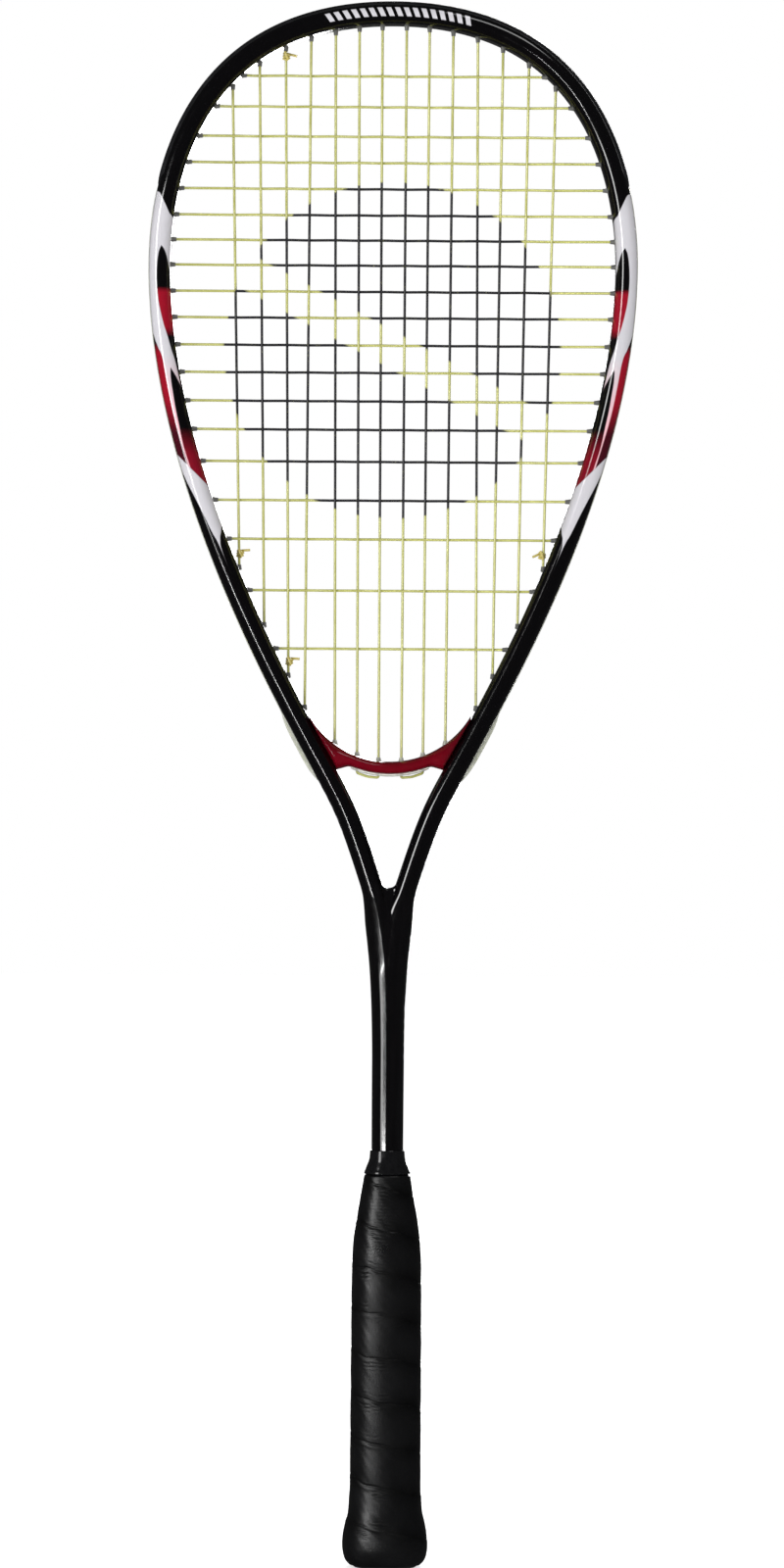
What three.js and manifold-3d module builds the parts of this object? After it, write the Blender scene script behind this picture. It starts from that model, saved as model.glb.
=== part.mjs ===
// Squash racket: a bent aluminium head tube with a separate throat bridge, a moulded shaft,
// two strings laced through the tube, and a wrapped handle.
// Millimetres. +Z runs up the shaft to the tip of the head, the string face lies in the plane y = 0,
// and the origin is the centre of the butt's flat end face.
import * as THREE from "three";
import { mergeVertices } from "three/addons/utils/BufferGeometryUtils.js";
import Module from "manifold-3d";

const wasm = await Module();
wasm.setup();

// ---------------------------------------------------------------- driving dimensions

const GAP = 0.3; // clearance between pieces that touch

// Centreline of one half of the head tube, from the tip down the right side to the throat.
const TIP_Z = 680.2;
const TIP_HANDLE = 90; // how far the flat top reaches sideways
const WIDEST = { x: 102.2, z: 570, above: 35, below: 53 }; // widest point and its curve handles
const ARM = { x: 48, z: 385.4, angle: 27.1, above: 78, below: 60 }; // where the side turns into the arm
const THROAT = { x: 8.2, z: 300, angle: 17.9, above: 44 }; // lower end of the arm
const HALF_STEPS = 28; // straight facets along half of the tube

// Head tube section: depth runs through the face, beam runs outwards from the centreline.
const HALF_BEAM = 4.7;
const HALF_DEPTH = 9;
const GROOVE = { halfWidth: 3.3, floor: 2.8 }; // string groove round the outside
const TUBE_OUTLINE = [
  [GROOVE.halfWidth, GROOVE.floor],
  [GROOVE.halfWidth + 0.2, HALF_BEAM],
  [5.4, HALF_BEAM],
  [8, 2.9],
  [HALF_DEPTH, 0],
  [8, -2.9],
  [5, -HALF_BEAM],
];
const TUBE_BORE = [
  [4.6, 1.6],
  [6.8, 2],
  [7.7, 0],
  [6.9, -2.3],
  [4.4, -3.5],
];

// Bumper and grommet strips sit in the groove, under the string loops.
const STRIP = { halfWidth: 2.8, base: 0.7, channel: 2.1, proud: 0.6 };
const STRIP_FLOOR = GROOVE.floor + GAP;
const STRIP_TOP = STRIP_FLOOR + STRIP.base;
const BUMPER_WING = 6.2; // how far the bumper's wings reach over the tube's lips
const BUMPER_END_Z = 604;
const SIDE_STRIP_END_Z = 346;
const STRIP_JOIN_GAP = 0.6;

// Strings
const STRING_R = 0.575;
const STRING_Y = 0.75; // mains behind the middle plane, crosses in front of it
const STRING_HOLE_R = 1.2;
const HOLE_SIDES = 4;
const STRING_SIDES = 5;
const LOOP_OUT = STRIP_TOP + GAP + STRING_R; // centre of a loop, out from the tube's centreline
const LOOP_CORNER = 0.8;
const FREE_END = 6; // tail past the last hole
const MAINS_PER_SIDE = 7;
const mainTopX = (i) => 5.3 + 9.9 * i + 0.17 * i * i;
const MAIN_TAPER = 0.94; // the mains draw in towards the throat
const CROSS_Z = [
  653, 639.5, 626.5, 615, 603.5, 592, 581, 570, 558.5, 547, 535, 523, 510.5, 498, 484, 467, 450, 427.5, 402,
];
const MAIN_3_EXIT_Z = 350; // height where the third main leaves the arm, under the bridge
const MAIN_4_EXIT_Z = 371;

// Throat bridge
const BRIDGE = { topZ: 352.7, topR: 41, lowZ: 347, lowR: 46, lowHalf: 17.6, depth: 16 };
const BRIDGE_WING = { tipZ: 368, footZ: 349.3 }; // where the wings meet the arms
const BRIDGE_MAINS = 2; // mains on each side that end in the bridge alone

// Shaft stations, tip end first: z, half width, half depth.
const SHAFT_TOP = THROAT.z - GAP / 2;
const SHAFT_BOTTOM = 12;
const SHAFT_R = { x: 6.95, y: 7.5 };
const SHAFT_WALL = 1.6;
const SHAFT = [
  [SHAFT_TOP, 13.2, 8.9],
  [291, 11.3, 8.8],
  [282, 10.4, 8.6],
  [273, 9.4, 8.3],
  [264, 8.5, 8],
  [250, 7.65, 7.8],
  [232, 7.1, 7.6],
  [205, SHAFT_R.x, SHAFT_R.y],
  [SHAFT_BOTTOM, SHAFT_R.x, SHAFT_R.y],
];
const CROTCH = { z: 300.9, r: 3.6 };
const CORE = { legTop: 322, top: 288.5, bottom: 262, legBottom: 284 }; // hidden joint piece in the throat

// Handle stations, butt first: z, half width, half depth of the grip's outer skin.
const GRIP_THICKNESS = 1.8;
const HANDLE_SIDES = 16;
const GRIP = [
  [1.2, 16.3, 14.9],
  [3.5, 17.9, 16.4],
  [8, 18.8, 17.2],
  [13, 18.7, 17.1],
  [18, 17.8, 16.2],
  [24, 16.3, 14.8],
  [35, 15.6, 14.1],
  [120, 15.4, 13.9],
  [135, 15.2, 13.8],
  [145, 14.5, 13.2],
  [155, 13, 12.1],
  [163, 11.5, 10.9],
  [172, 10.05, 9.9],
];
const CAP = { top: 30, floor: 3.2, boreX: 11.6, boreY: 9.9, faceX: 14.2, faceY: 12.9, bevel: 1.2 };
const PALLET_TOP = 168;
const COLLAR = [
  [172 + GAP, 10, 9.8],
  [173.8, 9.6, 9.5],
  [175.5, 9, 9.1],
  [177.5, 8.2, 8.6],
  [180.5, 7.8, 8.35],
  [182.5, 7.7, 8.25],
];
const FOAM = { bottom: 13, top: 43 };
const STAPLE = { z: 22, halfSpan: 4.1, wire: 0.8, crownY: 11.5, tipY: 8.4, recess: 1.2 };
const KNOT = [
  [0.9, -1.1],
  [1.6, -1.3],
  [1.9, 0],
  [1.6, 1.3],
  [0.9, 1.1],
]; // radius, height
const KNOT_OFF = { top: 3.6, low: 6.8 }; // from the frame's inner edge, along the string

// ---------------------------------------------------------------- materials

function paint(color, roughness, metalness = 0) {
  return new THREE.MeshStandardMaterial({ color, roughness, metalness });
}

const MATERIALS = {
  frame: paint(0x0a090b, 0.2, 0.3),
  bridge: paint(0xa5102a, 0.25),
  shaft: paint(0x08080a, 0.2),
  core: paint(0x2a2a2c, 0.6),
  bumper: paint(0x111113, 0.45),
  clearStrip: paint(0xc8ccc4, 0.35),
  string: paint(0xd9dc7a, 0.35),
  collar: paint(0x0d0d0f, 0.35),
  grip: paint(0x141416, 0.6),
  foam: paint(0x6f6a60, 0.9),
  cap: paint(0x1c1c1e, 0.5),
  steel: paint(0xb4b6ba, 0.3, 0.9),
};

// ---------------------------------------------------------------- making solids

const at = (x, z, y = 0) => new THREE.Vector3(x, y, z);

// A closed geometry as a solid that can be joined and cut.
function solid(geometry) {
  const bare = geometry.clone();
  bare.deleteAttribute("normal");
  bare.deleteAttribute("uv");
  const merged = mergeVertices(bare, 1e-4);
  const triVerts = new Uint32Array(merged.index.array);
  const vertProperties = merged.attributes.position.array;
  return new wasm.Manifold(new wasm.Mesh({ numProp: 3, vertProperties, triVerts }));
}

function geometryOf(body) {
  const mesh = body.getMesh();
  const geometry = new THREE.BufferGeometry();
  geometry.setAttribute("position", new THREE.BufferAttribute(new Float32Array(mesh.vertProperties), 3));
  geometry.setIndex(new THREE.BufferAttribute(new Uint32Array(mesh.triVerts), 1));
  geometry.computeVertexNormals();
  return geometry;
}

// A chain of straight stretches with one section placed at each of its points.
class Route extends THREE.Curve {
  constructor(points) {
    super();
    this.points = points;
  }
  getPointAt(u, target = new THREE.Vector3()) {
    return target.copy(this.points[Math.round(u * (this.points.length - 1))]);
  }
  getTangentAt(u, target = new THREE.Vector3()) {
    const last = this.points.length - 1;
    const i = Math.round(u * last);
    const before = this.points[Math.max(i - 1, 0)];
    const here = this.points[i];
    const after = this.points[Math.min(i + 1, last)];
    const arriving = here.clone().sub(before).normalize();
    const leaving = after.clone().sub(here).normalize();
    return target.copy(arriving).add(leaving).normalize();
  }
}

// Sweeps a shape along points that lie in a plane of constant y, running clockwise seen from -Y.
// Shape x becomes depth, and shape y points inwards.
function sweep(points, shape) {
  const extrudePath = new Route(points);
  const steps = points.length - 1;
  return solid(new THREE.ExtrudeGeometry(shape, { steps, bevelEnabled: false, extrudePath }));
}

// Mirrors [depth, outward] pairs about the string plane and turns them into shape points.
function section(half) {
  const mirrored = half.map(([depth, out]) => [-depth, out]).reverse();
  return [...half, ...mirrored].map(([depth, out]) => new THREE.Vector2(depth, -out));
}

const roundSection = (r, sides) =>
  Array.from({ length: sides }, (_, i) => {
    const angle = (2 * Math.PI * (i + 0.5)) / sides;
    return new THREE.Vector2(r * Math.cos(angle), r * Math.sin(angle));
  });

// A closed solid through oval stations [z, half width, half depth], in either order of height.
function loft(stations, sides = 12) {
  const rising = [...stations].sort((a, b) => a[0] - b[0]);
  const heights = rising.map(([z]) => new THREE.Vector2(1, z));
  const profile = [new THREE.Vector2(0, rising[0][0]), ...heights, new THREE.Vector2(0, rising.at(-1)[0])];
  const geometry = new THREE.LatheGeometry(profile, sides).rotateX(Math.PI / 2);
  const position = geometry.attributes.position;
  for (let k = 0; k < position.count; k++) {
    const row = THREE.MathUtils.clamp((k % profile.length) - 1, 0, rising.length - 1);
    position.setX(k, position.getX(k) * rising[row][1]);
    position.setY(k, position.getY(k) * rising[row][2]);
  }
  return solid(geometry);
}

const inset = (stations, by) => stations.map(([z, x, y]) => [z, x - by, y - by]);

// The half widths and half depths [x, y] of a row of stations at one height.
function sizeAt(stations, z) {
  const i = stations.findIndex((row, k) => k > 0 && row[0] <= z);
  const [above, below] = [stations[i - 1], stations[i]];
  const share = (z - below[0]) / (above[0] - below[0]);
  return [1, 2].map((n) => THREE.MathUtils.lerp(below[n], above[n], share));
}

function box(x, y, z, centre) {
  return solid(new THREE.BoxGeometry(x, y, z).translate(centre.x, centre.y, centre.z));
}

// Cutting blocks that reach past every piece.
const FAR = 400;
const blockBelow = (z) => box(FAR, FAR, FAR, at(0, z - FAR / 2));
const blockAbove = (z) => box(FAR, FAR, FAR, at(0, z + FAR / 2));
const blockBehind = (y) => box(FAR, FAR, FAR, at(0, 0, y + FAR / 2));
const blockInFrontOf = (y) => box(FAR, FAR, FAR, at(0, 0, y - FAR / 2));

// A short rod between two points, used as a drill.
function rod(from, to, r, sides = HOLE_SIDES) {
  const along = to.clone().sub(from);
  const geometry = new THREE.CylinderGeometry(r, r, along.length(), sides);
  const turn = new THREE.Quaternion().setFromUnitVectors(new THREE.Vector3(0, 1, 0), along.normalize());
  geometry.applyQuaternion(turn);
  const middle = from.clone().add(to).multiplyScalar(0.5);
  return solid(geometry.translate(middle.x, middle.y, middle.z));
}

// ---------------------------------------------------------------- head centreline

const downAt = (degrees) => {
  const angle = THREE.MathUtils.degToRad(degrees);
  return at(-Math.sin(angle), -Math.cos(angle));
};

const halfHead = new THREE.CurvePath();
const tip = at(0, TIP_Z);
const widest = at(WIDEST.x, WIDEST.z);
const armTop = at(ARM.x, ARM.z);
const armEnd = at(THROAT.x, THROAT.z);
halfHead.add(
  new THREE.CubicBezierCurve3(tip, at(TIP_HANDLE, TIP_Z), at(WIDEST.x, WIDEST.z + WIDEST.above), widest),
);
halfHead.add(
  new THREE.CubicBezierCurve3(
    widest,
    at(WIDEST.x, WIDEST.z - WIDEST.below),
    armTop.clone().addScaledVector(downAt(ARM.angle), -ARM.above),
    armTop,
  ),
);
halfHead.add(
  new THREE.CubicBezierCurve3(
    armTop,
    armTop.clone().addScaledVector(downAt(ARM.angle), ARM.below),
    armEnd.clone().addScaledVector(downAt(THROAT.angle), -THROAT.above),
    armEnd,
  ),
);

// A point beside the centreline: u runs from 0 at the tip to 1 at the throat, side is -1 or 1.
function beside(u, side, out, y = 0) {
  const point = halfHead.getPointAt(u);
  const along = halfHead.getTangentAt(u);
  return at(side * (point.x - along.z * out), point.z + along.x * out, y);
}

// The u in [low, high] where a falling measure of the right side reaches a value.
function whereFalls(measure, value, low, high) {
  for (let i = 0; i < 40; i++) {
    const middle = (low + high) / 2;
    if (measure(middle) > value) low = middle;
    else high = middle;
  }
  return (low + high) / 2;
}

const HALF_LENGTH = halfHead.getLength();
const whereZ = (z, out = 0) => whereFalls((u) => beside(u, 1, out).z, z, 0, 1);
const WIDEST_U = whereZ(WIDEST.z);

// Facet stations: whole numbers are the tube's facet corners, fractions lie on the facet between two.
const corners = Array.from({ length: 2 * HALF_STEPS + 1 }, (_, i) => {
  const k = i - HALF_STEPS;
  return beside(Math.abs(k) / HALF_STEPS, k < 0 ? -1 : 1, 0);
});

function facetPoint(k) {
  const whole = Math.min(Math.floor(k), HALF_STEPS - 1);
  return corners[whole + HALF_STEPS].clone().lerp(corners[whole + 1 + HALF_STEPS], k - whole);
}

function facetRun(from, to) {
  const inner = [];
  for (let k = Math.floor(from) + 1; k < to; k++) inner.push(facetPoint(k));
  return [facetPoint(from), ...inner, facetPoint(to)];
}

const facetIndex = (u) => u * HALF_STEPS;

// ---------------------------------------------------------------- string routes and their drills

const DRILL_REACH = 2.5; // past each face of a drilled piece
const DRILL_OVERLAP = 1; // between two drills that meet at an angle
const STRAIGHT_LEAD = 0.6; // how far a string runs square to the tube before it turns into the face
const drills = [];

function drillTube(u, side, y) {
  const inside = beside(u, side, -HALF_BEAM - DRILL_REACH, y);
  const outside = beside(u, side, HALF_BEAM + DRILL_REACH, y);
  drills.push(rod(inside, outside, STRING_HOLE_R));
}

// One end of a string run: where it meets the frame's inner edge, and how it comes out at the back.
function tubeEnd(u, side, y) {
  drillTube(u, side, y);
  const inner = beside(u, side, -HALF_BEAM - STRAIGHT_LEAD, y);
  const outer = (towards) => {
    const turn = (Math.sign(towards - u) * LOOP_CORNER) / HALF_LENGTH;
    return [beside(u, side, LOOP_OUT - LOOP_CORNER, y), beside(u + turn, side, LOOP_OUT, y)];
  };
  return { u, inner: [inner], outer };
}

// The outside loop that joins two ends on one side of the head, in travel order.
function loopBetween(a, b, side, y) {
  const middle = beside((a.u + b.u) / 2, side, LOOP_OUT, y);
  return [...a.outer(b.u), middle, ...b.outer(a.u).reverse()];
}

const bridgeTopAt = (x) => BRIDGE.topZ + BRIDGE.topR - Math.sqrt(BRIDGE.topR ** 2 - x ** 2);
const bridgeLowAt = (x) => BRIDGE.lowZ + BRIDGE.lowR - Math.sqrt(BRIDGE.lowR ** 2 - x ** 2);
const BRIDGE_LOOP_DROP = GAP + STRIP.base + GAP + STRING_R;

// The lower end of one of the middle mains, straight through the bridge.
function endThroughBridge(lowX, side) {
  const entry = at(side * lowX, bridgeTopAt(lowX) + STRAIGHT_LEAD, STRING_Y);
  const loopZ = bridgeLowAt(lowX) - BRIDGE_LOOP_DROP;
  const above = at(entry.x, entry.z + DRILL_REACH, STRING_Y);
  const below = at(entry.x, loopZ - DRILL_REACH, STRING_Y);
  drills.push(rod(below, above, STRING_HOLE_R));
  return { x: lowX, entry, loopZ };
}

// The lower end of the next main, which slants through the bridge's wing into the arm.
function endThroughWing(lowX, side) {
  const bottom = tubeEnd(whereZ(MAIN_3_EXIT_Z, HALF_BEAM), side, STRING_Y);
  const entry = at(side * lowX, bridgeTopAt(lowX) + STRAIGHT_LEAD, STRING_Y);
  const meet = bottom.inner[0];
  const slant = meet.clone().sub(entry).normalize();
  const above = entry.clone().addScaledVector(slant, -DRILL_REACH);
  const below = meet.clone().addScaledVector(slant, DRILL_OVERLAP);
  drills.push(rod(above, below, STRING_HOLE_R));
  return { ...bottom, inner: [entry, meet] };
}

function lowerEnd(i, lowX, side) {
  if (i < BRIDGE_MAINS) return endThroughBridge(lowX, side);
  if (i === BRIDGE_MAINS) return endThroughWing(lowX, side);
  if (i === BRIDGE_MAINS + 1) return tubeEnd(whereZ(MAIN_4_EXIT_Z, HALF_BEAM), side, STRING_Y);
  return tubeEnd(whereFalls((u) => beside(u, 1, -HALF_BEAM).x, lowX, WIDEST_U, 1), side, STRING_Y);
}

function mainEnds(i, side) {
  const topU = whereFalls((u) => -beside(u, 1, -HALF_BEAM).x, -mainTopX(i), 0, WIDEST_U);
  const top = tubeEnd(topU, side, STRING_Y);
  return { top, bottom: lowerEnd(i, mainTopX(i) * MAIN_TAPER, side) };
}

// The loop under the bridge from the first main to the second.
function bridgeLoop(a, b, side) {
  const point = (x, z) => at(side * x, z, STRING_Y);
  const middleX = (a.x + b.x) / 2;
  const middleZ = bridgeLowAt(middleX) - BRIDGE_LOOP_DROP - 0.2;
  return [
    a.entry,
    point(a.x, a.loopZ + LOOP_CORNER),
    point(a.x + LOOP_CORNER, a.loopZ),
    point(middleX, middleZ),
    point(b.x - LOOP_CORNER, b.loopZ),
    point(b.x, b.loopZ + LOOP_CORNER),
    b.entry,
  ];
}

// The last stretch of a string, tucked along the outside of the tube.
function tail(end, side, y, direction) {
  const rest = end.u + (direction * FREE_END) / HALF_LENGTH;
  return [...end.outer(rest), beside(rest, side, LOOP_OUT, y)];
}

// Half of the main string, from its top loop at the centre out to the last main of one side.
function mainHalf(side) {
  const mains = Array.from({ length: MAINS_PER_SIDE }, (_, i) => mainEnds(i, side));
  const points = [...mains[0].top.outer(0).reverse(), ...mains[0].top.inner];
  points.push(...bridgeLoop(mains[0].bottom, mains[1].bottom, side), ...mains[1].top.inner);
  for (let i = 1; i < MAINS_PER_SIDE - 1; i += 2) {
    const [a, b, c] = [mains[i], mains[i + 1], mains[i + 2]];
    points.push(...loopBetween(a.top, b.top, side, STRING_Y), ...b.top.inner, ...b.bottom.inner);
    if (!c) break;
    points.push(...loopBetween(b.bottom, c.bottom, side, STRING_Y));
    points.push(...[...c.bottom.inner].reverse(), ...c.top.inner);
  }
  const last = mains.at(-1).bottom;
  points.push(...tail(last, side, STRING_Y, 1));
  return { points, mains };
}

const rightMains = mainHalf(1);
const leftMains = mainHalf(-1);
const mainRoute = [...leftMains.points.reverse(), ...rightMains.points];

// The cross string, laced from the top left downwards.
function crossRoute() {
  const y = -STRING_Y;
  const runs = CROSS_Z.map((z, i) => {
    const from = i % 2 ? 1 : -1;
    const u = whereZ(z, -HALF_BEAM);
    return { from, start: tubeEnd(u, from, y), end: tubeEnd(u, -from, y) };
  });
  const points = tail(runs[0].start, runs[0].from, y, -1).reverse();
  runs.forEach(({ from, start, end }, i) => {
    points.push(...start.inner, ...end.inner);
    const next = runs[i + 1];
    if (next) points.push(...loopBetween(end, next.start, -from, y));
    else points.push(...tail(end, -from, y, 1));
  });
  return points;
}

const stringShape = new THREE.Shape(roundSection(STRING_R, STRING_SIDES));
const mainString = sweep(mainRoute, stringShape);
const crossString = sweep(crossRoute(), stringShape);
const allDrills = wasm.Manifold.union(drills);

// ---------------------------------------------------------------- head tube, bumper and strips

function tubeShape(outline, bore) {
  const shape = new THREE.Shape(section(outline));
  if (bore) shape.holes.push(new THREE.Path(section(bore)));
  return shape;
}

// The tube runs on past the throat and is cut square where it meets the shaft.
const ARM_OVERRUN = 4;
const beyond = (k) => {
  const end = facetPoint(k);
  const away = downAt(THROAT.angle).multiplyScalar(ARM_OVERRUN);
  return k < 0 ? at(end.x - away.x, end.z + away.z) : end.add(away);
};
const hoopPoints = facetRun(-HALF_STEPS, HALF_STEPS).slice(1, -1);
const headPoints = [beyond(-HALF_STEPS), ...hoopPoints, beyond(HALF_STEPS)];
const headTube = sweep(headPoints, tubeShape(TUBE_OUTLINE, TUBE_BORE))
  .subtract(blockBelow(THROAT.z + GAP / 2))
  .subtract(allDrills);

const BUMPER_OUTLINE = [
  [STRIP.channel, STRIP_TOP],
  [STRIP.channel, HALF_BEAM + GAP + STRIP.proud],
  [BUMPER_WING - 0.4, HALF_BEAM + GAP + STRIP.proud],
  [BUMPER_WING, HALF_BEAM - 0.1 + GAP],
  [STRIP.halfWidth, HALF_BEAM + GAP],
  [STRIP.halfWidth, STRIP_FLOOR],
];
const STRIP_OUTLINE = [
  [STRIP.channel, STRIP_TOP],
  [STRIP.channel, HALF_BEAM + GAP],
  [STRIP.halfWidth, HALF_BEAM + GAP],
  [STRIP.halfWidth, STRIP_FLOOR],
];
const bumperEnd = facetIndex(whereZ(BUMPER_END_Z));
const stripTop = bumperEnd + facetIndex(STRIP_JOIN_GAP / HALF_LENGTH);
const stripEnd = facetIndex(whereZ(SIDE_STRIP_END_Z));
const bumper = sweep(facetRun(-bumperEnd, bumperEnd), tubeShape(BUMPER_OUTLINE)).subtract(allDrills);
const stripLeft = sweep(facetRun(-stripEnd, -stripTop), tubeShape(STRIP_OUTLINE)).subtract(allDrills);
const stripRight = sweep(facetRun(stripTop, stripEnd), tubeShape(STRIP_OUTLINE)).subtract(allDrills);

// ---------------------------------------------------------------- throat bridge and its strip

const ARM_FACE = -HALF_BEAM - GAP;

// Turns a shape drawn in x and z into a solid centred on the string plane.
function plate(shape, depth) {
  const geometry = new THREE.ExtrudeGeometry(shape, { depth, bevelEnabled: false, curveSegments: 10 });
  return solid(geometry.rotateX(Math.PI / 2).translate(0, depth / 2, 0));
}

// A crescent that closes the string face, with a wing up the inside of each arm.
function bridgeShape() {
  const centreZ = BRIDGE.topZ + BRIDGE.topR;
  const wingTop = whereZ(BRIDGE_WING.tipZ, ARM_FACE);
  const wingFoot = whereZ(BRIDGE_WING.footZ, ARM_FACE);
  const shares = [0, 1 / 3, 2 / 3, 1];
  const face = shares.map((share) => beside(THREE.MathUtils.lerp(wingTop, wingFoot, share), 1, ARM_FACE));
  const tipAngle = Math.atan2(face[0].z - centreZ, face[0].x);
  const lowCentre = BRIDGE.lowZ + BRIDGE.lowR;
  const lowAngle = Math.acos(BRIDGE.lowHalf / BRIDGE.lowR);
  const shape = new THREE.Shape();
  shape.absarc(0, centreZ, BRIDGE.topR, Math.PI - tipAngle, tipAngle + 2 * Math.PI, false);
  face.forEach((p) => shape.lineTo(p.x, p.z));
  shape.absarc(0, lowCentre, BRIDGE.lowR, -lowAngle, -Math.PI + lowAngle, true);
  [...face].reverse().forEach((p) => shape.lineTo(-p.x, p.z));
  return shape;
}

const bridge = plate(bridgeShape(), BRIDGE.depth).subtract(allDrills);

// A shallow clear strip under the bridge, with the string loops below it.
function bridgeStripRun() {
  const r = BRIDGE.lowR + GAP + STRIP.base / 2;
  const half = 0.92 * Math.asin(BRIDGE.lowHalf / BRIDGE.lowR);
  const steps = 8;
  return Array.from({ length: steps + 1 }, (_, i) => {
    const angle = half - (2 * half * i) / steps;
    return at(r * Math.sin(angle), BRIDGE.lowZ + BRIDGE.lowR - r * Math.cos(angle));
  });
}

const bridgeStripSection = [
  [STRIP.halfWidth, STRIP.base / 2],
  [STRIP.halfWidth, -STRIP.base / 2],
];
const bridgeStrip = sweep(bridgeStripRun(), tubeShape(bridgeStripSection)).subtract(allDrills);

// ---------------------------------------------------------------- shaft and the joint inside the throat

// A line down the middle of one arm's end, carried straight on below the throat.
function legRun(side, topZ) {
  const from = whereZ(topZ);
  const shares = [0, 1 / 3, 2 / 3, 1];
  const upper = shares.map((share) => beside(THREE.MathUtils.lerp(from, 1, share), side, 0));
  const slope = downAt(THROAT.angle);
  const below = armEnd.clone().addScaledVector(slope, (CORE.legBottom - THROAT.z) / slope.z);
  const run = [...upper, at(side * below.x, below.z)];
  return side < 0 ? run.reverse() : run;
}

function bothLegs(shape, topZ) {
  return sweep(legRun(-1, topZ), shape).add(sweep(legRun(1, topZ), shape));
}

const LEG_GAP = 1.4 * GAP; // between the core's legs and the arms' bore
const coreOutline = TUBE_BORE.map(([depth, out]) => [depth - LEG_GAP, out - Math.sign(out) * LEG_GAP]);

const shaftBore = SHAFT.slice(1).map(([z, x, y]) => [z, x - SHAFT_WALL, y - SHAFT_WALL]);
shaftBore[0][0] = CORE.top + GAP;
shaftBore.at(-1)[0] = SHAFT_BOTTOM - 1;
const crotch = rod(at(0, CROTCH.z, -2 * HALF_DEPTH), at(0, CROTCH.z, 2 * HALF_DEPTH), CROTCH.r, 16);
const shaft = loft(SHAFT)
  .subtract(loft(shaftBore))
  .subtract(bothLegs(tubeShape(TUBE_BORE), THROAT.z + ARM_OVERRUN))
  .subtract(crotch);

const coreBottom = [CORE.bottom, ...sizeAt(shaftBore, CORE.bottom)];
const corePlug = inset([...shaftBore.filter(([z]) => z > CORE.bottom), coreBottom], GAP);
corePlug[0][0] = CORE.top;
const throatCore = loft(corePlug).add(bothLegs(tubeShape(coreOutline), CORE.legTop));

// ---------------------------------------------------------------- handle

const skin = (by) => inset(GRIP, by);
const extend = (stations, low, high) => {
  const copy = stations.map((row) => [...row]);
  copy[0][0] -= low;
  copy.at(-1)[0] += high;
  return copy;
};
const gripWrap = loft(GRIP, HANDLE_SIDES).subtract(loft(extend(skin(GRIP_THICKNESS), 1, 1), HANDLE_SIDES));

// What lies under the grip: the butt cap up to its rim, and the two handle shells above and inside it.
const underGrip = skin(GRIP_THICKNESS + GAP);
const capFace = [
  [0, CAP.faceX - 1, CAP.faceY - 1],
  [CAP.bevel, CAP.faceX, CAP.faceY],
];
const capBody = loft([...capFace, ...underGrip.slice(1)], HANDLE_SIDES);
const capBoreStations = [
  [CAP.floor, CAP.boreX, CAP.boreY],
  [CAP.top + 1, CAP.boreX, CAP.boreY],
];
const capBore = loft(capBoreStations, HANDLE_SIDES);

const palletFoot = [
  [CAP.floor + GAP, CAP.boreX - GAP, CAP.boreY - GAP],
  [CAP.top + 1, CAP.boreX - GAP, CAP.boreY - GAP],
];
const shaftClear = loft([
  [SHAFT_BOTTOM - GAP, SHAFT_R.x + GAP, SHAFT_R.y + GAP],
  [PALLET_TOP + 5, SHAFT_R.x + GAP, SHAFT_R.y + GAP],
]);
const pallet = loft(underGrip, HANDLE_SIDES)
  .subtract(blockBelow(CAP.top + GAP))
  .subtract(blockAbove(PALLET_TOP))
  .add(loft(palletFoot, HANDLE_SIDES))
  .subtract(shaftClear);

// Two staples hold the grip's starting end to the cap, one in front and one behind.
function staple(side, grow) {
  const wire = STAPLE.wire + 2 * grow;
  const crownY = side * STAPLE.crownY;
  const legY = (side * (STAPLE.crownY + STAPLE.tipY)) / 2;
  const crown = box(2 * STAPLE.halfSpan + wire, wire, wire, at(0, STAPLE.z, crownY));
  const length = STAPLE.crownY - STAPLE.tipY + 2 * grow;
  const legs = [-1, 1].map((s) => box(wire, length, wire, at(s * STAPLE.halfSpan, STAPLE.z, legY)));
  return crown.add(legs[0]).add(legs[1]);
}

function stapleRecess(side) {
  const middle = at(0, STAPLE.z, side * (STAPLE.crownY + STAPLE.recess));
  const width = 2 * STAPLE.halfSpan + STAPLE.wire + 2 * GAP;
  const pocket = box(width, 2 * STAPLE.recess + STAPLE.wire, STAPLE.wire + 2 * GAP, middle);
  return pocket.add(staple(side, GAP));
}

const recesses = stapleRecess(-1).add(stapleRecess(1));
const buttCap = capBody.subtract(blockAbove(CAP.top)).subtract(capBore).subtract(recesses);
const shells = pallet.subtract(recesses);
const frontShell = shells.subtract(blockBehind(-GAP / 2));
const backShell = shells.subtract(blockInFrontOf(GAP / 2));

const collarBore = loft([
  [COLLAR[0][0] - 1, SHAFT_R.x + GAP, SHAFT_R.y + GAP],
  [COLLAR.at(-1)[0] + 1, SHAFT_R.x + GAP, SHAFT_R.y + GAP],
]);
const collar = loft(COLLAR, HANDLE_SIDES).subtract(collarBore);
const foamPlug = loft([
  [FOAM.bottom, SHAFT_R.x - SHAFT_WALL - GAP, SHAFT_R.y - SHAFT_WALL - GAP],
  [FOAM.top, SHAFT_R.x - SHAFT_WALL - GAP, SHAFT_R.y - SHAFT_WALL - GAP],
]);

// ---------------------------------------------------------------- tie-off knots

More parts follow.
